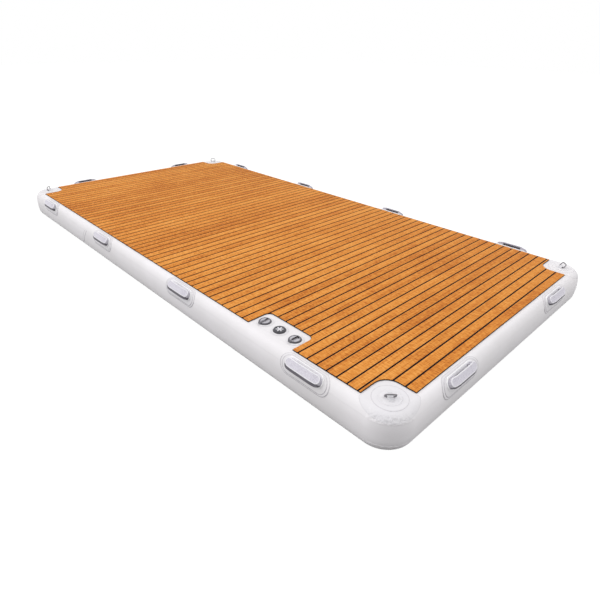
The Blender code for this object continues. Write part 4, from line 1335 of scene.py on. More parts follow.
@dataclass
class CornerMooring:
    """A steel ring at a corner, held by a webbing keeper on round patches draped over the hull."""

    form: HullForm
    deck: Deck
    palette: Palette
    inset_x: float = 0.115
    inset_y: float = 0.12
    outer_radius: float = 0.125
    pleat_pitch: float = 0.023
    pleat_rise: float = 0.0026
    pleats_start: float = 0.188
    pleats_end: float = 0.160
    inner_radius: float = 0.077
    first_lift: float = 0.0012
    second_lift: float = 0.0021
    deck_gap: float = 0.003
    foot: float = 0.2024
    disc_radius: float = 0.050
    disc_rise: float = 0.0015
    strap_width: float = 0.025
    strap_rise: float = 0.0015
    strap_half: float = 0.030
    stitch_pitch: float = 0.0036
    stitch_length: float = 0.0027
    stitch_thick: float = 0.0007
    stitch_inset: float = 0.003
    stitch_start: float = 0.0115
    wire: float = 0.003
    clearance: float = 0.0005
    half_width: float = 0.023
    height: float = 0.027
    bend: float = 0.005
    exponent: float = 5.0

    @property
    def axis(self) -> float:
        """Height of the ring's bar over the keeper's foot."""
        return self.disc_rise + self.strap_rise + self.clearance + self.wire

    def middle(self, corner: Corner) -> Flat:
        """Where the ring stands at a corner."""
        x, y = self.form.length / 2 - self.inset_x, self.form.width / 2 - self.inset_y
        return corner.side_x * x, corner.side_y * y

    def build(self) -> None:
        """Builds and dresses the mooring of each corner."""
        palette, lift = self.palette, self.first_lift
        strap, disc, rows, ring = self.strap(), self.disc(), self.stitch_rows(), self.ring()
        tree = Trees.stitches()
        stitch = {"Pitch": self.stitch_pitch, "Long": self.stitch_length, "Thick": self.stitch_thick}
        stitch |= {"Finish": palette.thread.material}
        for corner in Corner:
            label = corner.label
            lower = self.patch(corner, "lower", self.outer_radius, -0.0004, lift, (0.3, 0.0))
            put(lower, palette.patch, replaced=(f"corner_patch_{label}",))
            put(self.patch(corner, "upper", self.inner_radius, lift - 0.0002, self.second_lift, (0.4, 0.4)), palette.patch)
            turn = Matrix.Rotation(math.radians(-corner.side_x * corner.side_y * 45), 4, "Z")
            spot = Matrix.Translation((*self.middle(corner), self.foot)) @ turn
            put(copied(disc, f"keeper_disc_{label}", spot), palette.patch, replaced=(f"ring_keeper_{label}",))
            put(copied(strap, f"keeper_strap_{label}", spot), palette.webbing)
            seam = grown(copied(rows, f"keeper_stitches_{label}", spot), tree, stitch)
            self.map_thread(seam)
            put(seam, palette.thread, count="box stitches")
            lean = Matrix.Rotation(math.radians(-corner.side_y * corner.lean), 4, "X")
            stand = Matrix.Translation((*self.middle(corner), self.foot + self.axis)) @ turn @ lean
            piece = copied(ring, f"ring_{label}", stand)
            put(piece, palette.steel, f"ring_{label}", (f"d_ring_{label}",))
        for spare in (strap, disc, rows, ring):
            bpy.data.objects.remove(spare)

    @staticmethod
    def map_thread(seam: Piece) -> None:
        """Gives the stitches cloth coordinates, which their grown mesh lacks."""
        mesh = seam.data
        layer = mesh.uv_layers.get("cloth") or mesh.uv_layers.new(name="cloth")
        for loop in mesh.loops:
            place = mesh.vertices[loop.vertex_index].co
            layer.data[loop.index].uv = (place.x, place.y + place.z)

    def patch(self, corner: Corner, layer: str, radius: float, low: float, high: float, glue_and_shadow: Flat) -> Piece:
        """One round layer over a corner, cut back where the deck's notch begins.

        Args:
            corner: The corner.
            layer: Which layer it is, for its name.
            radius: The layer's radius.
            low: Lift of its underside.
            high: Lift of its face.
            glue_and_shadow: How strongly the grey edge line, partly painted shadow, marks its edge on the flat top,
                and low on the side.

        Returns:
            The piece.
        """
        x, y = (abs(value) for value in self.middle(corner))
        edge = self.deck.notch(self.deck.black_edge + self.deck_gap, 40)
        start, end = edge[0], edge[-1]
        bound = edge + [(end[0] + 1, end[1]), (end[0] + 1, start[1] + 1), (start[0], start[1] + 1)]
        outline: Outline = []
        for out_x, out_y in arc((0, 0), 1, 0, 360, 120)[:-1]:
            reach = radius
            while not inside((x + reach * out_x, y + reach * out_y), bound):
                reach -= 0.0005
            outline.append((corner.side_x * (x + reach * out_x), corner.side_y * (y + reach * out_y)))
        if corner.side_x * corner.side_y < 0:
            outline.reverse()
        name = f"corner_patch_{layer}_{corner.label}"
        piece = draped(name, outline, self.pleated, low, high, 0.0045, glue_and_shadow=glue_and_shadow)
        return self.form.mark(piece, "drawn", self.form.drawn)

    def pleated(self, x: float, y: float, lift: float) -> Vector:
        """The hull's point under a patch, in uneven pleats where the patch turns down a corner."""
        form = self.form
        past_x, past_y = form.past(x, y)
        down = math.hypot(past_x, past_y) - form.flat_radius
        if past_x <= 0 or past_y <= 0 or down <= 0 or lift <= 0:
            return form.drape(x, y, lift)
        turn = math.atan2(past_y, past_x)
        around = turn * form.corner_radius + (x + y) * 0.004
        phase = around / self.pleat_pitch + 0.3 * math.sin(around * 47 + x)
        wave = abs(math.sin(math.pi * phase)) ** 0.8 * (0.6 + 0.4 * math.sin(around * 151 + y * 3))
        share = between(down, form.down_to(self.pleats_start), form.down_to(self.pleats_end))
        return form.drape(x, y, lift + self.pleat_rise * wave * share * math.sin(turn * 2) ** 0.5)

    def disc(self) -> Piece:
        """The keeper's base disc, with its pressed edge and a welded ring."""
        r, h = self.disc_radius, self.disc_rise
        profile = [(0.0, 0.0), (r, 0.0), (r, h * 0.5), (r - 0.0005, h * 0.9), (r - 0.0015, h), (r - 0.006, h)]
        profile += [(r - 0.0065, h - 0.0003), (r - 0.0080, h - 0.0003), (r - 0.0085, h), (0.016, h), (0.0, h)]
        return turned("keeper_disc", profile, 72, Vector((0, 0, 0)))

    def strap_path(self) -> Outline:
        """The strap's middle line from one tail over the ring's bar to the other, as (y, z) points."""
        low = self.disc_rise + self.strap_rise / 2
        around = self.wire + self.clearance + self.strap_rise / 2
        fillet = 0.003
        start = [(-self.strap_half + i * (self.strap_half - around - fillet) / 8, low) for i in range(8)]
        rise = arc((-around - fillet, low + fillet), fillet, -90, 0, 6)
        hump = arc((0, self.axis), around, 180, 90, 8)
        left = start + rise + hump
        return left + [(-y, z) for y, z in reversed(left[:-1])]

    def strap(self) -> Piece:
        """The webbing strap, a flat band with round edges that loops over the ring's bar."""
        path = self.strap_path()
        half, thick = self.strap_width / 2, self.strap_rise / 2 - 0.00005
        edge = thick * 0.9
        section = arc((half - edge, 0), edge, -90, 90, 6) + arc((edge - half, 0), edge, 90, 270, 6)
        section = [(x, z * thick / edge) for x, z in section]
        across = [i / 2 * math.sqrt(2) * 0.002 for i in range(len(section))] + [0.05]
        lengths = [0.0]
        rows = []
        for i, (y, z) in enumerate(path):
            before, after = path[max(i - 1, 0)], path[min(i + 1, len(path) - 1)]
            way = Vector((after[0] - before[0], after[1] - before[1])).normalized()
            rows.append([Vector((x, y - way.y * t, z + way.x * t)) for x, t in section])
            if i:
                lengths.append(lengths[-1] + math.dist(path[i - 1], path[i]))
        draft = Draft("keeper_strap")
        draft.add_rows(rows, across, lengths, capped=True)
        return draft.build(sharp=60)

    def stitch_rows(self) -> Piece:
        """The lines that the box stitches follow on the strap's two tails."""
        height = self.disc_rise + self.strap_rise + 0.0001
        half = self.strap_width / 2 - self.stitch_inset
        points, edges = [], []
        for side in (-1, 1):
            start = len(points)
            near, far = side * self.stitch_start, side * (self.strap_half - self.stitch_inset)
            points += [(x, y, height) for x, y in corners((-half, near), (half, far))]
            edges += [(start + a, start + b) for a, b in ((0, 1), (1, 2), (2, 3), (3, 0), (0, 2), (1, 3))]
        mesh = bpy.data.meshes.new("stitch_rows")
        mesh.from_pydata(points, edges, [])
        return shown("stitch_rows", mesh)

    def ring(self) -> Piece:
        """The bent and welded ring, standing up from the middle of its straight bar."""
        rise, straight = self.height - self.bend, self.half_width - self.bend
        power = 2 / self.exponent
        bow = []
        for x, z in arc((0, 0), 1, 0, 180, 56):
            across = math.copysign(abs(x) ** power, x)
            bow.append((self.half_width * across, self.bend + rise * max(z, 0) ** power))
        right = arc((straight, self.bend), self.bend, -90, 0, 8)
        left = arc((-straight, self.bend), self.bend, 180, 270, 8)
        bar = [(straight * (2 * i / 8 - 1), 0.0) for i in range(1, 8)]
        path = [Vector((x, 0, z)) for x, z in right[:-1] + bow + left[1:] + bar]
        section = arc((0, 0), self.wire, 0, 360, 16)[:-1]
        rows = []
        for i, here in enumerate(path):
            along = (path[(i + 1) % len(path)] - path[i - 1]).normalized()
            side = Vector((along.z, 0, -along.x))
            rows.append([here + side * u + Vector((0, v, 0)) for u, v in section])
        draft = Draft("ring")
        draft.add_rows(rows, loop=True)
        return draft.build()


@dataclass
class GrabHandle:
    """A moulded grab handle on two stadium patches draped over the hull's shoulder."""

    form: HullForm
    palette: Palette
    base_height: float = 0.174
    tilt: float = 33.0
    length: float = 0.216
    width: float = 0.048
    rise: float = 0.029
    grip_rise: float = 0.010
    edge: float = 0.0035
    pad_width: float = 0.043
    pad_length: float = 0.212
    pad_shift: float = 0.0055
    pad_length: float = 0.212
    pad_shift: float = 0.0055
    pad_rise: float = 0.0042
    # How much painted highlight the pad's rounded edge gets
    pad_highlight: float = 0.45
    pad_lip: float = 0.0012
    rim_width: float = 0.0010
    face_sunk: float = 0.0006
    core_length: float = 0.2155
    # Moved down across the handle, the dark core's ledge shows below the pad as a painted shadow
    core_shift: float = -0.0050
    short_core_shift: float = 0.0005
    arch: float = 0.008
    arch_start: float = 0.058
    arch_end: float = 0.098
    feet_start: float = 0.060
    feet_low: float = -0.012
    foot: float = 0.0024
    base_rise: float = 0.003
    base_rim: float = 0.006
    gap_length: float = 0.124
    gap_bend: float = 0.008
    patch_length: float = 0.305
    patch_width: float = 0.104
    patch_drop: float = 0.010
    patch_step: float = 0.014
    end_x: float = 1.56
    spacing: float = 1.06
    end_y: float = 0.53

    @cached_property
    def down(self) -> float:
        """Distance down the side to the handle's middle."""
        return self.form.down_to(self.base_height)

    @cached_property
    def lean(self) -> Matrix:
        """From the handle's own axes to those of a straight wall, with y out from the flat top's edge."""
        place = Matrix.Translation((0, self.form.at(self.down).offset, self.base_height))
        tip = Matrix.Rotation(math.radians(90 - self.tilt), 4, "X")
        return place @ Matrix.Rotation(math.pi, 4, "Z") @ tip

    @cached_property
    def crossings(self) -> tuple[list[float], list[float]]:
        """How far below the handle's middle each place down the side lies in the handle's view of it."""
        back = self.lean.inverted()
        reach, steps = 0.16, 400
        downs = [-0.03 + (reach + 0.03) * step / steps for step in range(steps + 1)]
        below = []
        for down in downs:
            station = self.form.at(down)
            below.append(-(back @ Vector((0, station.offset, station.height))).y)
        return below, downs

    def drape(self, x: float, y: float, lift: float) -> Vector:
        """The wall's point under a point of the handle's own plane, lifted off the cloth."""
        below, downs = self.crossings
        place = min(max(bisect.bisect_left(below, -y), 1), len(below) - 1)
        share = (-y - below[place - 1]) / (below[place] - below[place - 1])
        station = self.form.at(downs[place - 1] + (downs[place] - downs[place - 1]) * share)
        return Vector((-x, station.offset + station.out * lift, station.height + station.up * lift))

    def places(self) -> list[tuple[str, Side, Matrix]]:
        """Label, side and place of every handle."""
        long_side = (-self.end_x, -self.spacing / 2, self.spacing / 2, self.end_x)
        found = []
        for side in Side:
            across = side.facing[1] != 0
            for number, along in enumerate(long_side if across else (-self.end_y, self.end_y), start=1):
                x = along if across else side.facing[0] * self.form.flat_half_x
                y = side.facing[1] * self.form.flat_half_y if across else along
                spot = Matrix.Translation((x, y, 0)) @ Matrix.Rotation(math.radians(side.turn), 4, "Z")
                found.append((f"{side.label}_{number}", side, spot))
        return found

    def patch(self, name: str, length: float, width: float, low: float, high: float) -> Piece:
        """One stadium layer of cloth over the shoulder."""
        outline = [(x, y - self.patch_drop) for x, y in stadium(length, width, 28, 24)]
        # The edge line is stronger low on the side, as painted shadow
        return draped(name, outline, self.drape, low, high, 0.010, glue_and_shadow=(0.3, 1.0))

    def base(self) -> Piece:
        """The handle's curved base plate."""
        rim, low = self.base_rim * 2, self.foot
        outline = stadium(self.length + rim, self.width + rim, 24, 20)
        # The flange's edge band, from its rim values, gets a painted highlight
        return draped("handle_base", outline, self.drape, low, low + self.base_rise, 0.007, rim=0.0025)

    def droop(self, x: float) -> float:
        """How far the arched grip comes down towards its feet at a place along it."""
        share = between(abs(x), self.arch_start, self.arch_end)
        return self.arch * share * share * (3 - 2 * share)

    def stack(
        self, name: str, size: Flat, shift: float, rings: Sequence[Flat], highlights: Sequence[float] = ()
    ) -> Piece:
        """A stadium block under the grip's arch.

        Args:
            name: The piece's name.
            size: Its length and width.
            shift: How far it is moved across the handle.
            rings: How far each ring is inset, and how high it lies.
            highlights: How much painted highlight each ring gets.

        Returns:
            The piece.
        """
        steps = 24
        rows = []
        for inset_by, height in rings:
            outline = stadium(size[0] - inset_by * 2, size[1] - inset_by * 2, steps, 28)
            rows.append([Vector((x, y + shift, height - self.droop(x))) for x, y in outline])
        draft = Draft(name)
        draft.add_rows(rows, rims=highlights)
        # Each cap is a row of narrow faces across the block, so that it follows the arch
        tip, count = steps // 2, len(rows[0])
        for row in (rows[0], rows[-1]):
            faces = []
            for step in range(count // 2):
                face = [tip + step, tip + step + 1, tip - step - 1, tip - step]
                faces.append(tuple(dict.fromkeys(i % count for i in face)))
            draft.add_patchwork(row, [(p.x, p.y) for p in row], faces)
        return draft.build()

    def pad(self) -> Piece:
        """The grip's soft pad, with a raised rim round its stippled face."""
        top, edge, lip, sunk = self.foot + self.rise, self.edge, self.pad_lip, self.face_sunk
        low, rim = top - self.pad_rise, edge + self.rim_width
        rings = [(lip, low), (lip / 4, low + lip / 3), (0.0, low + lip)]
        rings += arc((edge, top - edge), edge, 180, 90, 7)
        rings += [(rim, top), (rim + sunk, top - 0.0005), (rim + 0.0014, top - sunk)]
        # The rounded edge's rings get a painted highlight, a thin white line
        highlights = [0.0] * 5 + [self.pad_highlight] * (len(rings) - 7) + [0.2, 0.0]
        pad = self.stack("handle_pad", (self.pad_length, self.pad_width), self.pad_shift, rings, highlights)
        pad.data.transform(self.lean)
        return pad

    def grip(self, shift: float) -> tuple[Piece, Piece]:
        """The grip's dark core over the hand gap, and the pale upper side of its two feet; the core's ledge below the
        pad and the feet's dark lower side are painted shadow.
        """
        top, edge = self.foot + self.rise, self.edge
        crown = top - self.pad_rise + 0.0004
        rings = [(0.0, -self.rise)] + arc((edge, crown - edge), edge, 180, 90, 5)
        grip = self.stack("handle_core", (self.core_length, self.width), shift, rings)
        low, high = -self.rise - 0.02, top - self.grip_rise
        half, bend = self.gap_length / 2, self.gap_bend
        opening = [(-half, low), (half, low)] + arc((half - bend, high - bend), bend, 0, 90, 8)
        opening += arc((bend - half, high - bend), bend, 90, 180, 8)
        gap = prism("hand_gap", opening, (-self.width, self.width), "y")
        soften(carve(grip, "DIFFERENCE", gap), 0.0010, 2, angle=50)
        feet = carve(copied(grip, "handle_feet", Matrix()), "INTERSECT", self.feet_space())
        carve(grip, "DIFFERENCE", self.feet_space())
        for piece in (grip, feet):
            piece.data.transform(self.lean)
            carve(piece, "DIFFERENCE", self.shoulder())
        return grip, feet

    def feet_space(self) -> Piece:
        """The space of the feet's pale part, at both ends of the grip and on its upper side; below it the feet keep
        the core's dark as painted shade.
        """
        reach, low = self.length, self.feet_low
        spans = ((self.feet_start, reach), (-reach, -self.feet_start))
        blocks = [prism("block", corners((start, low), (end, reach)), (-reach, reach)) for start, end in spans]
        return merged("feet_space", blocks)

    def shoulder(self) -> Piece:
        """The solid behind the base plate's face, for cutting the grip's feet to the shoulder's curve."""
        lift, reach = self.foot + self.base_rise / 2, 0.045
        stations = [self.form.at(-reach)] + [self.form.at(0.005 * step) for step in range(26)]
        section = [(s.offset + s.out * lift, s.height + s.up * lift) for s in stations]
        section.append((-reach, section[-1][1]))
        return prism("shoulder", section, (-self.length, self.length), "x")

    def build(self) -> None:
        """Builds one handle with its patches, and dresses a copy at every place."""
        palette, step = self.palette, self.patch_step
        lower = self.patch("patch_lower", self.patch_length, self.patch_width, -0.0004, 0.0012)
        upper = self.patch("patch_upper", self.patch_length - step * 2, self.patch_width - step, 0.0010, 0.0021)
        base, pad = self.base(), self.pad()
        # The core sits a little higher behind the pad at the short sides, where less of its dark ledge, a painted
        # shadow, shows
        grips = {False: self.grip(self.core_shift), True: self.grip(self.short_core_shift)}
        for label, side, spot in self.places():
            grip, feet = grips[side.facing[0] != 0]
            for name, part, finish, replaced in (
                ("patch_lower", lower, palette.patch, (f"handle_patch_{label}",)),
                ("patch_upper", upper, palette.patch, ()),
                ("flange", base, palette.flange, (f"handle_{label}",)),
                ("core", grip, palette.core, ()),
                ("feet", feet, palette.foot, ()),
                ("pad", pad, palette.grip, ()),
            ):
                put(copied(part, f"handle_{name}_{label}", spot), finish, replaced=replaced)
        for spare in (lower, upper, base, pad, *grips[False], *grips[True]):
            bpy.data.objects.remove(spare)


@dataclass
class Valves:
    """Two inflation valves with hinged caps, and between them the relief valve with its slotted cover."""

    palette: Palette
    xs: Sequence[float] = (1.160, 1.270, 1.380)
    y: float = -0.904
    cloth_top: float = 0.200
    flange_low: float = 0.2015
    patch_radius: float = 0.045
    patch_low: float = 0.0003
    patch_rise: float = 0.0012
    flange_radius: float = 0.033
    flange_rise: float = 0.004
    barrel: float = 0.0225
    depth: float = 0.032
    mouth: float = 0.018
    seat: float = 0.012
    seat_rise: float = 0.003
    relief_seat_depth: float = 0.017
    hub_low: float = -0.025
    hub_high: float = -0.021
    hub_radius: float = 0.0058
    hub_bore: float = 0.0036
    arm_start: float = 0.0047
    arm_end: float = 0.0202
    arm_half: float = 0.002
    cap_radius: float = 0.030
    cap_rise: float = 0.003
    cap_gap: float = 0.0003
    plug_depth: float = 0.005
    plug_clearance: float = 0.0007
    well_depth: float = 0.0016
    rib_count: int = 40
    rib_length: float = 0.0030
    rib_width: float = 0.0011
    rib_rise: float = 0.0008
    bar_length: float = 0.044
    bar_width: float = 0.009
    bar_rise: float = 0.005
    grip_skin: float = 0.0006
    catch_length: float = 0.0065
    catch_reach: float = 0.0075
    hinge_offset: float = 0.0065
    knuckle: float = 0.003
    knuckle_length: float = 0.009
    pin: float = 0.0015
    ear_width: float = 0.003
    ear_low: float = 0.002
    ear_foot: float = 0.0016
    cover_rise: float = 0.004
    cover_sunk: float = 0.0012
    slots: int = 6
    slot_width: float = 0.004
    slot_start: float = 0.006
    slot_turn: float = 15.0
    spoke_hub: float = 0.0062
    spoke_middle: float = 0.0125
    spoke_length: float = 0.0135
    spoke_width: float = 0.0072
    spoke_thick: float = 0.0018
    spring_length: float = 0.0084
    spring_radius: float = 0.0055
    spring_wire: float = 0.0004
    spring_turns: int = 4
    spring_travel: float = 0.004

    @property
    def lid_low(self) -> float:
        """Height of a cap's and the cover's underside over the flange's."""
        return self.flange_rise + self.cap_gap
    def centre(self, number: int, height: float = 0.0) -> Vector:
        """A point on the axis of a valve, over the underside of its flange."""
        return Vector((self.xs[number], self.y, self.flange_low + height))

    @property
    def hinge(self) -> Flat:
        """The hinge's y from the valve's middle and its height over the flange's underside."""
        return -self.cap_radius - self.hinge_offset, self.lid_low + self.cap_rise / 2

    def build(self) -> None:
        """Builds and dresses the three valves."""
        palette, labels = self.palette, ("left", "relief", "right")
        for number, label in enumerate(labels):
            hinged = label != "relief"
            kind, tail = ("valve", f"_{label}") if hinged else ("relief", "")
            put(self.patch(number, f"{label}_valve_ring"), palette.patch, replaced=(f"{kind}_patch{tail}",))
            seat_depth = self.depth if hinged else self.relief_seat_depth
            body = self.body(number, f"{label}_valve_housing", seat_depth)
            put(body, palette.rim_nylon, replaced=(f"{kind}_body{tail}",))
            if hinged:
                cap = f"cap_{label}"
                put(self.cap(number, label), palette.nylon, cap, (f"valve_cap_{label}",))
                put(self.well(number, label), palette.face, cap)
                put(self.bar_grip(number, label), palette.rubber, cap)
                put(self.knuckle_rod(number, f"valve_cap_{label}_knuckle"), palette.nylon, cap)
                put(self.ears(number, f"valve_ears_{label}"), palette.rim_nylon)
            else:
                cover = self.cover(number)
                put(cover, palette.rim_nylon, replaced=("relief_cover",), count=f"{self.slots} slots")
                put(self.spokes(number), palette.spoke, count=f"{self.slots} spokes")
        for part, finish in (("nut", palette.rim_nylon), ("poppet", palette.rubber)):
            for node in (f"valve_{part}_left", f"valve_{part}_right", f"relief_{part}"):
                self.paint(node, finish)
        for number, label in enumerate(labels):
            self.spring(number, label)

    @staticmethod
    def paint(node: str, finish: Finish) -> None:
        """Gives a CAD node that stays its finish, through its object's slots."""
        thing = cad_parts[node]
        for slot in thing.material_slots:
            slot.link = "OBJECT"
            slot.material = finish.material
        log.info("%s: CAD node, %s", node, finish.name)

    def patch(self, number: int, name: str) -> Piece:
        """The welded white ring under a valve's flange."""
        low, high, r = self.patch_low, self.patch_rise, self.patch_radius
        profile = [(self.barrel, low), (r, low), (r, high - 0.0003), (r - 0.0006, high), (self.barrel, high)]
        centre = Vector((self.xs[number], self.y, self.cloth_top))
        return turned(name, profile, 72, centre, loop=True)

    def body(self, number: int, name: str, seat_depth: float) -> Piece:
        """A valve's housing: flange, barrel, seat and the hub that guides the stem."""
        top, flange, mouth, barrel = self.flange_rise, self.flange_radius, self.mouth, self.barrel
        seat_top = self.seat_rise - seat_depth
        profile = [(barrel, 0.0), (flange - 0.0005, 0.0), (flange, 0.0005)]
        profile += [(flange, top - 0.0016), (flange - 0.0005, top - 0.0005), (flange - 0.0016, top)]
        profile += [(mouth + 0.0006, top), (mouth, top - 0.0006), (mouth, seat_top + 0.0004)]
        profile += [(mouth - 0.0004, seat_top), (self.seat, seat_top), (self.seat, -seat_depth)]
        if seat_depth < self.depth:
            profile += [(mouth, -seat_depth), (mouth, -self.depth)]
        profile += [(barrel, -self.depth)]
        housing = turned("housing", profile, 64, self.centre(number), loop=True)
        return merged(name, [housing, *self.spider(number)])

    def spider(self, number: int) -> list[Piece]:
        """The hub that guides the poppet's stem and its three arms."""
        centre, low, high, half = self.centre(number), self.hub_low, self.hub_high, self.arm_half
        section = corners((self.hub_bore, low), (self.hub_radius, high))
        parts = [turned("hub", section, 32, centre, loop=True)]
        for arm in range(3):
            bar = rounded_block("arm", (self.arm_start, -half, low), (self.arm_end, half, high), 0.0005)
            bar.data.transform(Matrix.Translation(centre) @ Matrix.Rotation(math.tau * arm / 3, 4, "Z"))
            parts.append(bar)
        return parts

    def ears(self, number: int, name: str) -> Piece:
        """The hinge's two ears and its pin."""
        inner = self.knuckle_length / 2 + self.cap_gap * 2
        outer = inner + self.ear_width
        high_y, low = -self.cap_radius - self.cap_gap * 2, self.ear_low
        section = [(high_y, low), (high_y - self.ear_foot, low)]
        section += arc(self.hinge, self.knuckle, -60, -270, 14) + [(high_y, self.hinge[1] + 0.0008)]
        spans = ((inner, outer), (-outer, -inner))
        parts = [soften(prism("ear", section, span, "x"), 0.0004, 2, angle=60) for span in spans]
        parts.append(self.rod("pin", self.pin, (inner + outer) / 2))
        return self.set_in(merged(name, parts), number)

    def set_in(self, piece: Piece, number: int) -> Piece:
        """Moves a piece from the origin to its valve, and returns it."""
        piece.data.transform(Matrix.Translation(self.centre(number)))
        return piece

    def rod(self, name: str, radius: float, half: float) -> Piece:
        """A rod along the hinge's axis, by half its length."""
        hinge_y, hinge_z = self.hinge
        edge = radius * 0.2
        section = arc((0, 0), 1, 0, 360, 24)[:-1]
        rows = []
        for x, r in ((-half, radius - edge), (edge - half, radius), (half - edge, radius), (half, radius - edge)):
            rows.append([Vector((x, hinge_y + r * y, hinge_z + r * z)) for y, z in section])
        draft = Draft(name)
        draft.add_rows(rows, capped=True)
        return draft.build()

    def cap(self, number: int, label: str) -> Piece:
        """An inflation valve's cap: a ribbed rim round a sunk well, and a grip bar across it."""
        low, r, plug = self.lid_low, self.cap_radius, self.mouth - self.plug_clearance
        top, end = low + self.cap_rise, low - self.plug_depth
        floor = top - self.well_depth
        profile = [(0.0, low - 0.001), (plug - 0.002, low - 0.001), (plug - 0.002, end)]
        profile += [(plug - 0.0006, end), (plug, end + 0.0006), (plug, low), (r - 0.0004, low)]
        profile += [(r, low + 0.0004), (r, top - 0.0009), (r - 0.0009, top), (r - 0.0042, top)]
        profile += [(r - 0.0054, floor), (0.0, floor)]
        half_l, half_w, reach = self.bar_length / 2, self.bar_width / 2, self.knuckle_length / 2
        bar_low, bar_high = (-half_w, -half_l, top - 0.0018), (half_w, half_l, top + self.bar_rise)
        leaf_low, leaf_high = (-reach, self.hinge[0] + 0.002, low), (reach, 0.002 - r, low + 0.0023)
        parts = [turned("disc", profile, 72, Vector())]
        parts.append(rounded_block("bar", bar_low, bar_high, 0.0022))
        parts.append(rounded_block("leaf", leaf_low, leaf_high, 0.0005))
        base = self.set_in(merged(f"valve_cap_{label}_moulding", parts), number)
        values = {"Radius": r - 0.0024, "Long": self.rib_length, "Wide": self.rib_width, "Deep": self.rib_rise}
        values |= {"Count": self.rib_count, "Middle": tuple(self.centre(number, top))}
        return grown(base, Trees.round_row(False), values | {"Finish": self.palette.nylon.material})

    def knuckle_rod(self, number: int, name: str) -> Piece:
        """The knuckle that turns a cap on its pin."""
        return self.set_in(self.rod(name, self.knuckle, self.knuckle_length / 2), number)

    def well(self, number: int, label: str) -> Piece:
        """The pale disc in the cap's well."""
        top = self.lid_low + self.cap_rise
        low, face, r = top - 0.0018, top - 0.0012, self.cap_radius - 0.0056
        profile = [(0.0, low), (r, low), (r - 0.0003, face + 0.0002), (r - 0.0020, face), (0.0, face)]
        return turned(f"valve_cap_{label}_well", profile, 64, self.centre(number))

    def bar_grip(self, number: int, label: str) -> Piece:
        """The soft grip on a cap's bar: on half of the left one's, and with a catch on the right one's."""
        top = self.lid_low + self.cap_rise
        half_l, half_w = self.bar_length / 2 - self.grip_skin * 2, self.bar_width / 2 - self.grip_skin
        start = 0.0015 if label == "left" else -half_l
        high = (half_w, half_l, top + self.bar_rise + self.grip_skin)
        parts = [rounded_block("grip", (-half_w, start, top), high, 0.0018)]
        if label == "right":
            end = half_l - 0.002
            low = (half_w - 0.001, end - self.catch_length, top - 0.001)
            high = (half_w + self.catch_reach, end, top + 0.0020)
            parts.append(rounded_block("catch", low, high, 0.0009))
        return self.set_in(merged(f"valve_cap_{label}_bar_grip", parts), number)

    def spring(self, number: int, label: str) -> None:
        """Winds and dresses a valve's spring.

        Args:
            number: Which valve it is in.
            label: The valve's label.
        """
        relief, gap, length = label == "relief", self.cap_gap, self.spring_length
        low = self.hub_low - gap - length if relief else self.hub_high + gap
        wire, steps = self.spring_wire, 18
        count = self.spring_turns * steps
        section = arc((0, 0), wire, 0, 360, 8)[:-1]
        rows = []
        for step in range(count + 1):
            turn = math.tau * step / steps
            out = Vector((math.cos(turn), math.sin(turn), 0))
            climb = (length - wire * 2) * step / count
            middle = self.centre(number, low + wire + climb) + out * self.spring_radius
            rows.append([middle + out * x + Vector((0, 0, z)) for x, z in section])
        node = "relief_spring" if relief else f"valve_spring_{label}"
        draft = Draft(f"{node}_wire")
        draft.add_rows(rows, capped=True)
        piece = put(draft.build(), self.palette.steel, replaced=(node,), count=f"{self.spring_turns} turns")
        fixed = self.centre(number, low + length if relief else low)
        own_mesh(piece)

    def spokes(self, number: int) -> Piece:
        """The pale hub and spokes between the relief cover's slots."""
        top, hub = self.lid_low + self.cover_rise, self.spoke_hub
        low, high = top - self.cover_sunk, top + 0.0002
        profile = [(0.0, low), (hub, low), (hub, top - 0.0003), (hub - 0.0005, high), (0.0, high)]
        base = turned("relief_cover_spokes", profile, 40, self.centre(number))
        values = {"Radius": self.spoke_middle, "Long": self.spoke_length, "Wide": self.spoke_width}
        values |= {"Deep": self.spoke_thick, "Count": self.slots, "Finish": self.palette.spoke.material}
        values |= {"Turn": math.pi / self.slots + math.radians(self.slot_turn)}
        return grown(base, Trees.round_row(False), values | {"Middle": tuple(self.centre(number, top - 0.0006))})

    def cover(self, number: int) -> Piece:
        """The relief valve's cover, with slots cut through it and the spigot that holds it."""
        low, r, spigot = self.lid_low, self.cap_radius, self.mouth - self.cap_gap
        top, end, wall = low + self.cover_rise, low - self.plug_depth, spigot - self.slot_width / 2
        sunk = top - self.cover_sunk
        profile = [(0.0, low), (wall, low), (wall, end), (spigot, end), (spigot, low), (r - 0.0004, low)]
        profile += [(r, low + 0.0004), (r, sunk), (r - 0.0003, top - 0.0004), (r - 0.0012, top)]
        profile += [(r - 0.0072, top), (r - 0.0082, sunk), (0.0, sunk)]
        base = turned("relief_cover_moulding", profile, 72, self.centre(number))
        start, end = self.slot_start, wall - self.slot_width / 2
        values = {"Radius": (start + end) / 2 + 0.002, "Long": end - start + 0.006}
        values |= {"Wide": self.slot_width + 0.0025, "Deep": 0.0076, "Count": self.slots}
        values |= {"Turn": math.radians(self.slot_turn), "Middle": tuple(self.centre(number, top))}
        values |= {"Finish": self.palette.rim_nylon.material}
        return soften(grown(base, Trees.round_row(True), values), 0.0003, 2, angle=60)


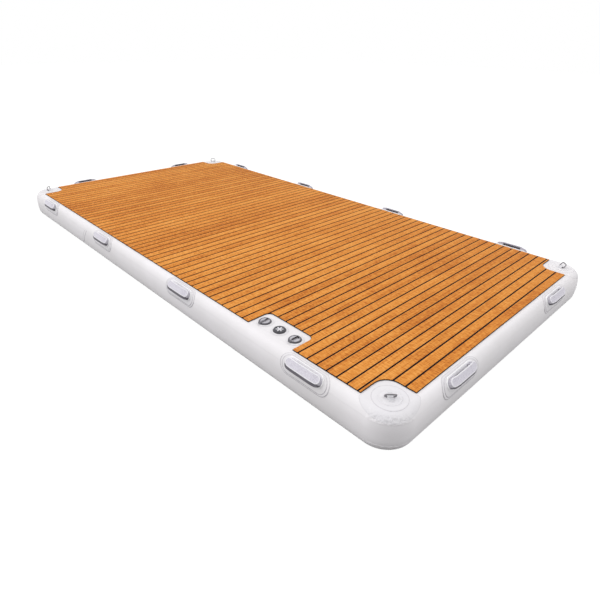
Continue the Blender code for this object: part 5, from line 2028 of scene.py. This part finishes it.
@dataclass
class Studio:
    """The floor, the soft light and the camera."""

    look_x: float = 0.8606
    look_y: float = -0.3693
    distance: float = 2.9345
    azimuth: float = 45.778
    elevation: float = 29.305
    roll: float = 0.9385
    lens: float = 27.642
    sky: float = 0.81
    near_lamp: float = 1.10
    right_lamp: float = 0.60
    paper: str = "#BCBCBC"
    shadow: str = "#2C2C2C"
    shadow_start: float = 0.03
    shadow_end: float = 0.46
    hull_half_x: float = 2.05
    hull_half_y: float = 1.025
    glow: float = 1.32
    share: float = 0.76

    def build(self) -> None:
        """Sets up the studio."""
        self.camera()
        self.floor()
        self.world()
        # Each lamp stands well round to one side, so that the corner between them is the darkest
        self.sun("soft_lamp_near", Vector((-0.62, -0.62, 0.48)), self.near_lamp)
        self.sun("soft_lamp_right", Vector((0.52, 0.48, 0.71)), self.right_lamp)
        bpy.context.scene.view_settings.view_transform = "Standard"

    def camera(self) -> None:
        """The camera, at the picture's own angle."""
        turn, rise, roll = (math.radians(a) for a in (self.azimuth, self.elevation, self.roll))
        back = Vector((math.sin(turn) * math.cos(rise), -math.cos(turn) * math.cos(rise), math.sin(rise)))
        level = Vector((0, 0, 1)).cross(back).normalized()
        upright = back.cross(level)
        right = level * math.cos(roll) + upright * math.sin(roll)
        above = upright * math.cos(roll) - level * math.sin(roll)
        lens = bpy.data.cameras.new("camera")
        lens.lens = self.lens
        lens.sensor_width = 36.0
        lens.clip_end = 100.0
        camera = shown("camera", lens)
        place = Vector((self.look_x, self.look_y, 0)) + back * self.distance
        camera.matrix_world = Matrix.Translation(place) @ Matrix((right, above, back)).transposed().to_4x4()
        bpy.context.scene.camera = camera

    def floor(self) -> None:
        """A pale level floor that keeps the shadow under the hull."""
        draft = Draft("studio_floor")
        spots = [Vector((x, y, 0)) for x, y in corners((-30, -30), (30, 30))]
        draft.add_rows([spots[:2], spots[:1:-1]], ring=False)
        floor = draft.build()
        paper = bpy.data.materials.new("white_studio_paper")
        paper.use_nodes = True
        tree = paper.node_tree
        shader = tree.nodes["Principled BSDF"]
        place = add(tree, "ShaderNodeTexCoord", {}).outputs["Object"]
        mirrored = add(tree, "ShaderNodeVectorMath", {0: place}, operation="ABSOLUTE")
        hull = (self.hull_half_x, self.hull_half_y, 0.0)
        beyond = add(tree, "ShaderNodeVectorMath", {0: mirrored, 1: hull}, operation="SUBTRACT")
        out = add(tree, "ShaderNodeVectorMath", {0: beyond, 1: (0.0, 0.0, 0.0)}, operation="MAXIMUM")
        away = add(tree, "ShaderNodeVectorMath", {0: out}, operation="LENGTH").outputs["Value"]
        # The paper is toned down where the hull stands, as a contact shadow is
        limits = {"Value": away, "From Min": self.shadow_start, "From Max": self.shadow_end}
        near = add(tree, "ShaderNodeMapRange", limits, interpolation_type="SMOOTHSTEP")
        tone = add(tree, "ShaderNodeValToRGB", {0: near}, ((0.0, self.shadow), (1.0, self.paper)))
        feed(tree, shader, {"Base Color": tone, "Roughness": 0.9, "Specular IOR Level": 0.0})
        glow = add(tree, "ShaderNodeEmission", {"Color": (1, 1, 1, 1), "Strength": self.glow})
        both = add(tree, "ShaderNodeMixShader", {0: self.seen(tree, self.share), 1: shader, 2: glow})
        feed(tree, tree.nodes["Material Output"], {"Surface": both})
        floor.data.materials.append(paper)

    @staticmethod
    def seen(tree: Tree, share: float) -> Node:
        """A share where the camera, a reflection or a clear piece sees the background, and 0 elsewhere."""
        rays = add(tree, "ShaderNodeLightPath", {}).outputs
        seen = rays["Is Camera Ray"]
        for kind in ("Is Glossy Ray", "Is Transmission Ray"):
            seen = add(tree, "ShaderNodeMath", {0: seen, 1: rays[kind]}, operation="MAXIMUM")
        return add(tree, "ShaderNodeMath", {0: seen, 1: share}, operation="MULTIPLY")

    def world(self) -> None:
        """An even pale sky, which shows as white behind the platform."""
        world = bpy.data.worlds.new("studio")
        bpy.context.scene.world = world
        world.use_nodes = True
        tree = world.node_tree
        light = tree.nodes["Background"]
        feed(tree, light, {"Color": (1, 1, 1, 1), "Strength": self.sky})
        white = add(tree, "ShaderNodeBackground", {"Color": (1, 1, 1, 1), "Strength": 1.0})
        both = add(tree, "ShaderNodeMixShader", {0: self.seen(tree, 1.0), 1: light, 2: white})
        feed(tree, tree.nodes["World Output"], {"Surface": both})

    @staticmethod
    def sun(name: str, direction: Vector, strength: float) -> None:
        """A large soft lamp, seen from the platform in a direction."""
        lamp = bpy.data.lights.new(name, "SUN")
        lamp.energy = strength
        lamp.angle = math.radians(50)
        shown(name, lamp).matrix_world = direction.to_track_quat("Z", "Y").to_matrix().to_4x4()


def main() -> None:
    """Builds the studio and the platform's sub-assemblies in order."""
    logging.basicConfig(level=logging.INFO, format="%(message)s")
    Studio().build()
    form, palette = HullForm(), Palette()
    valves = Valves(palette)
    Hull(form, palette, [(x, valves.y) for x in valves.xs]).build()
    deck = Deck(form, palette)
    deck.build()
    CornerMooring(form, deck, palette).build()
    GrabHandle(form, palette).build()
    valves.build()


if __name__ == "__main__":
    main()
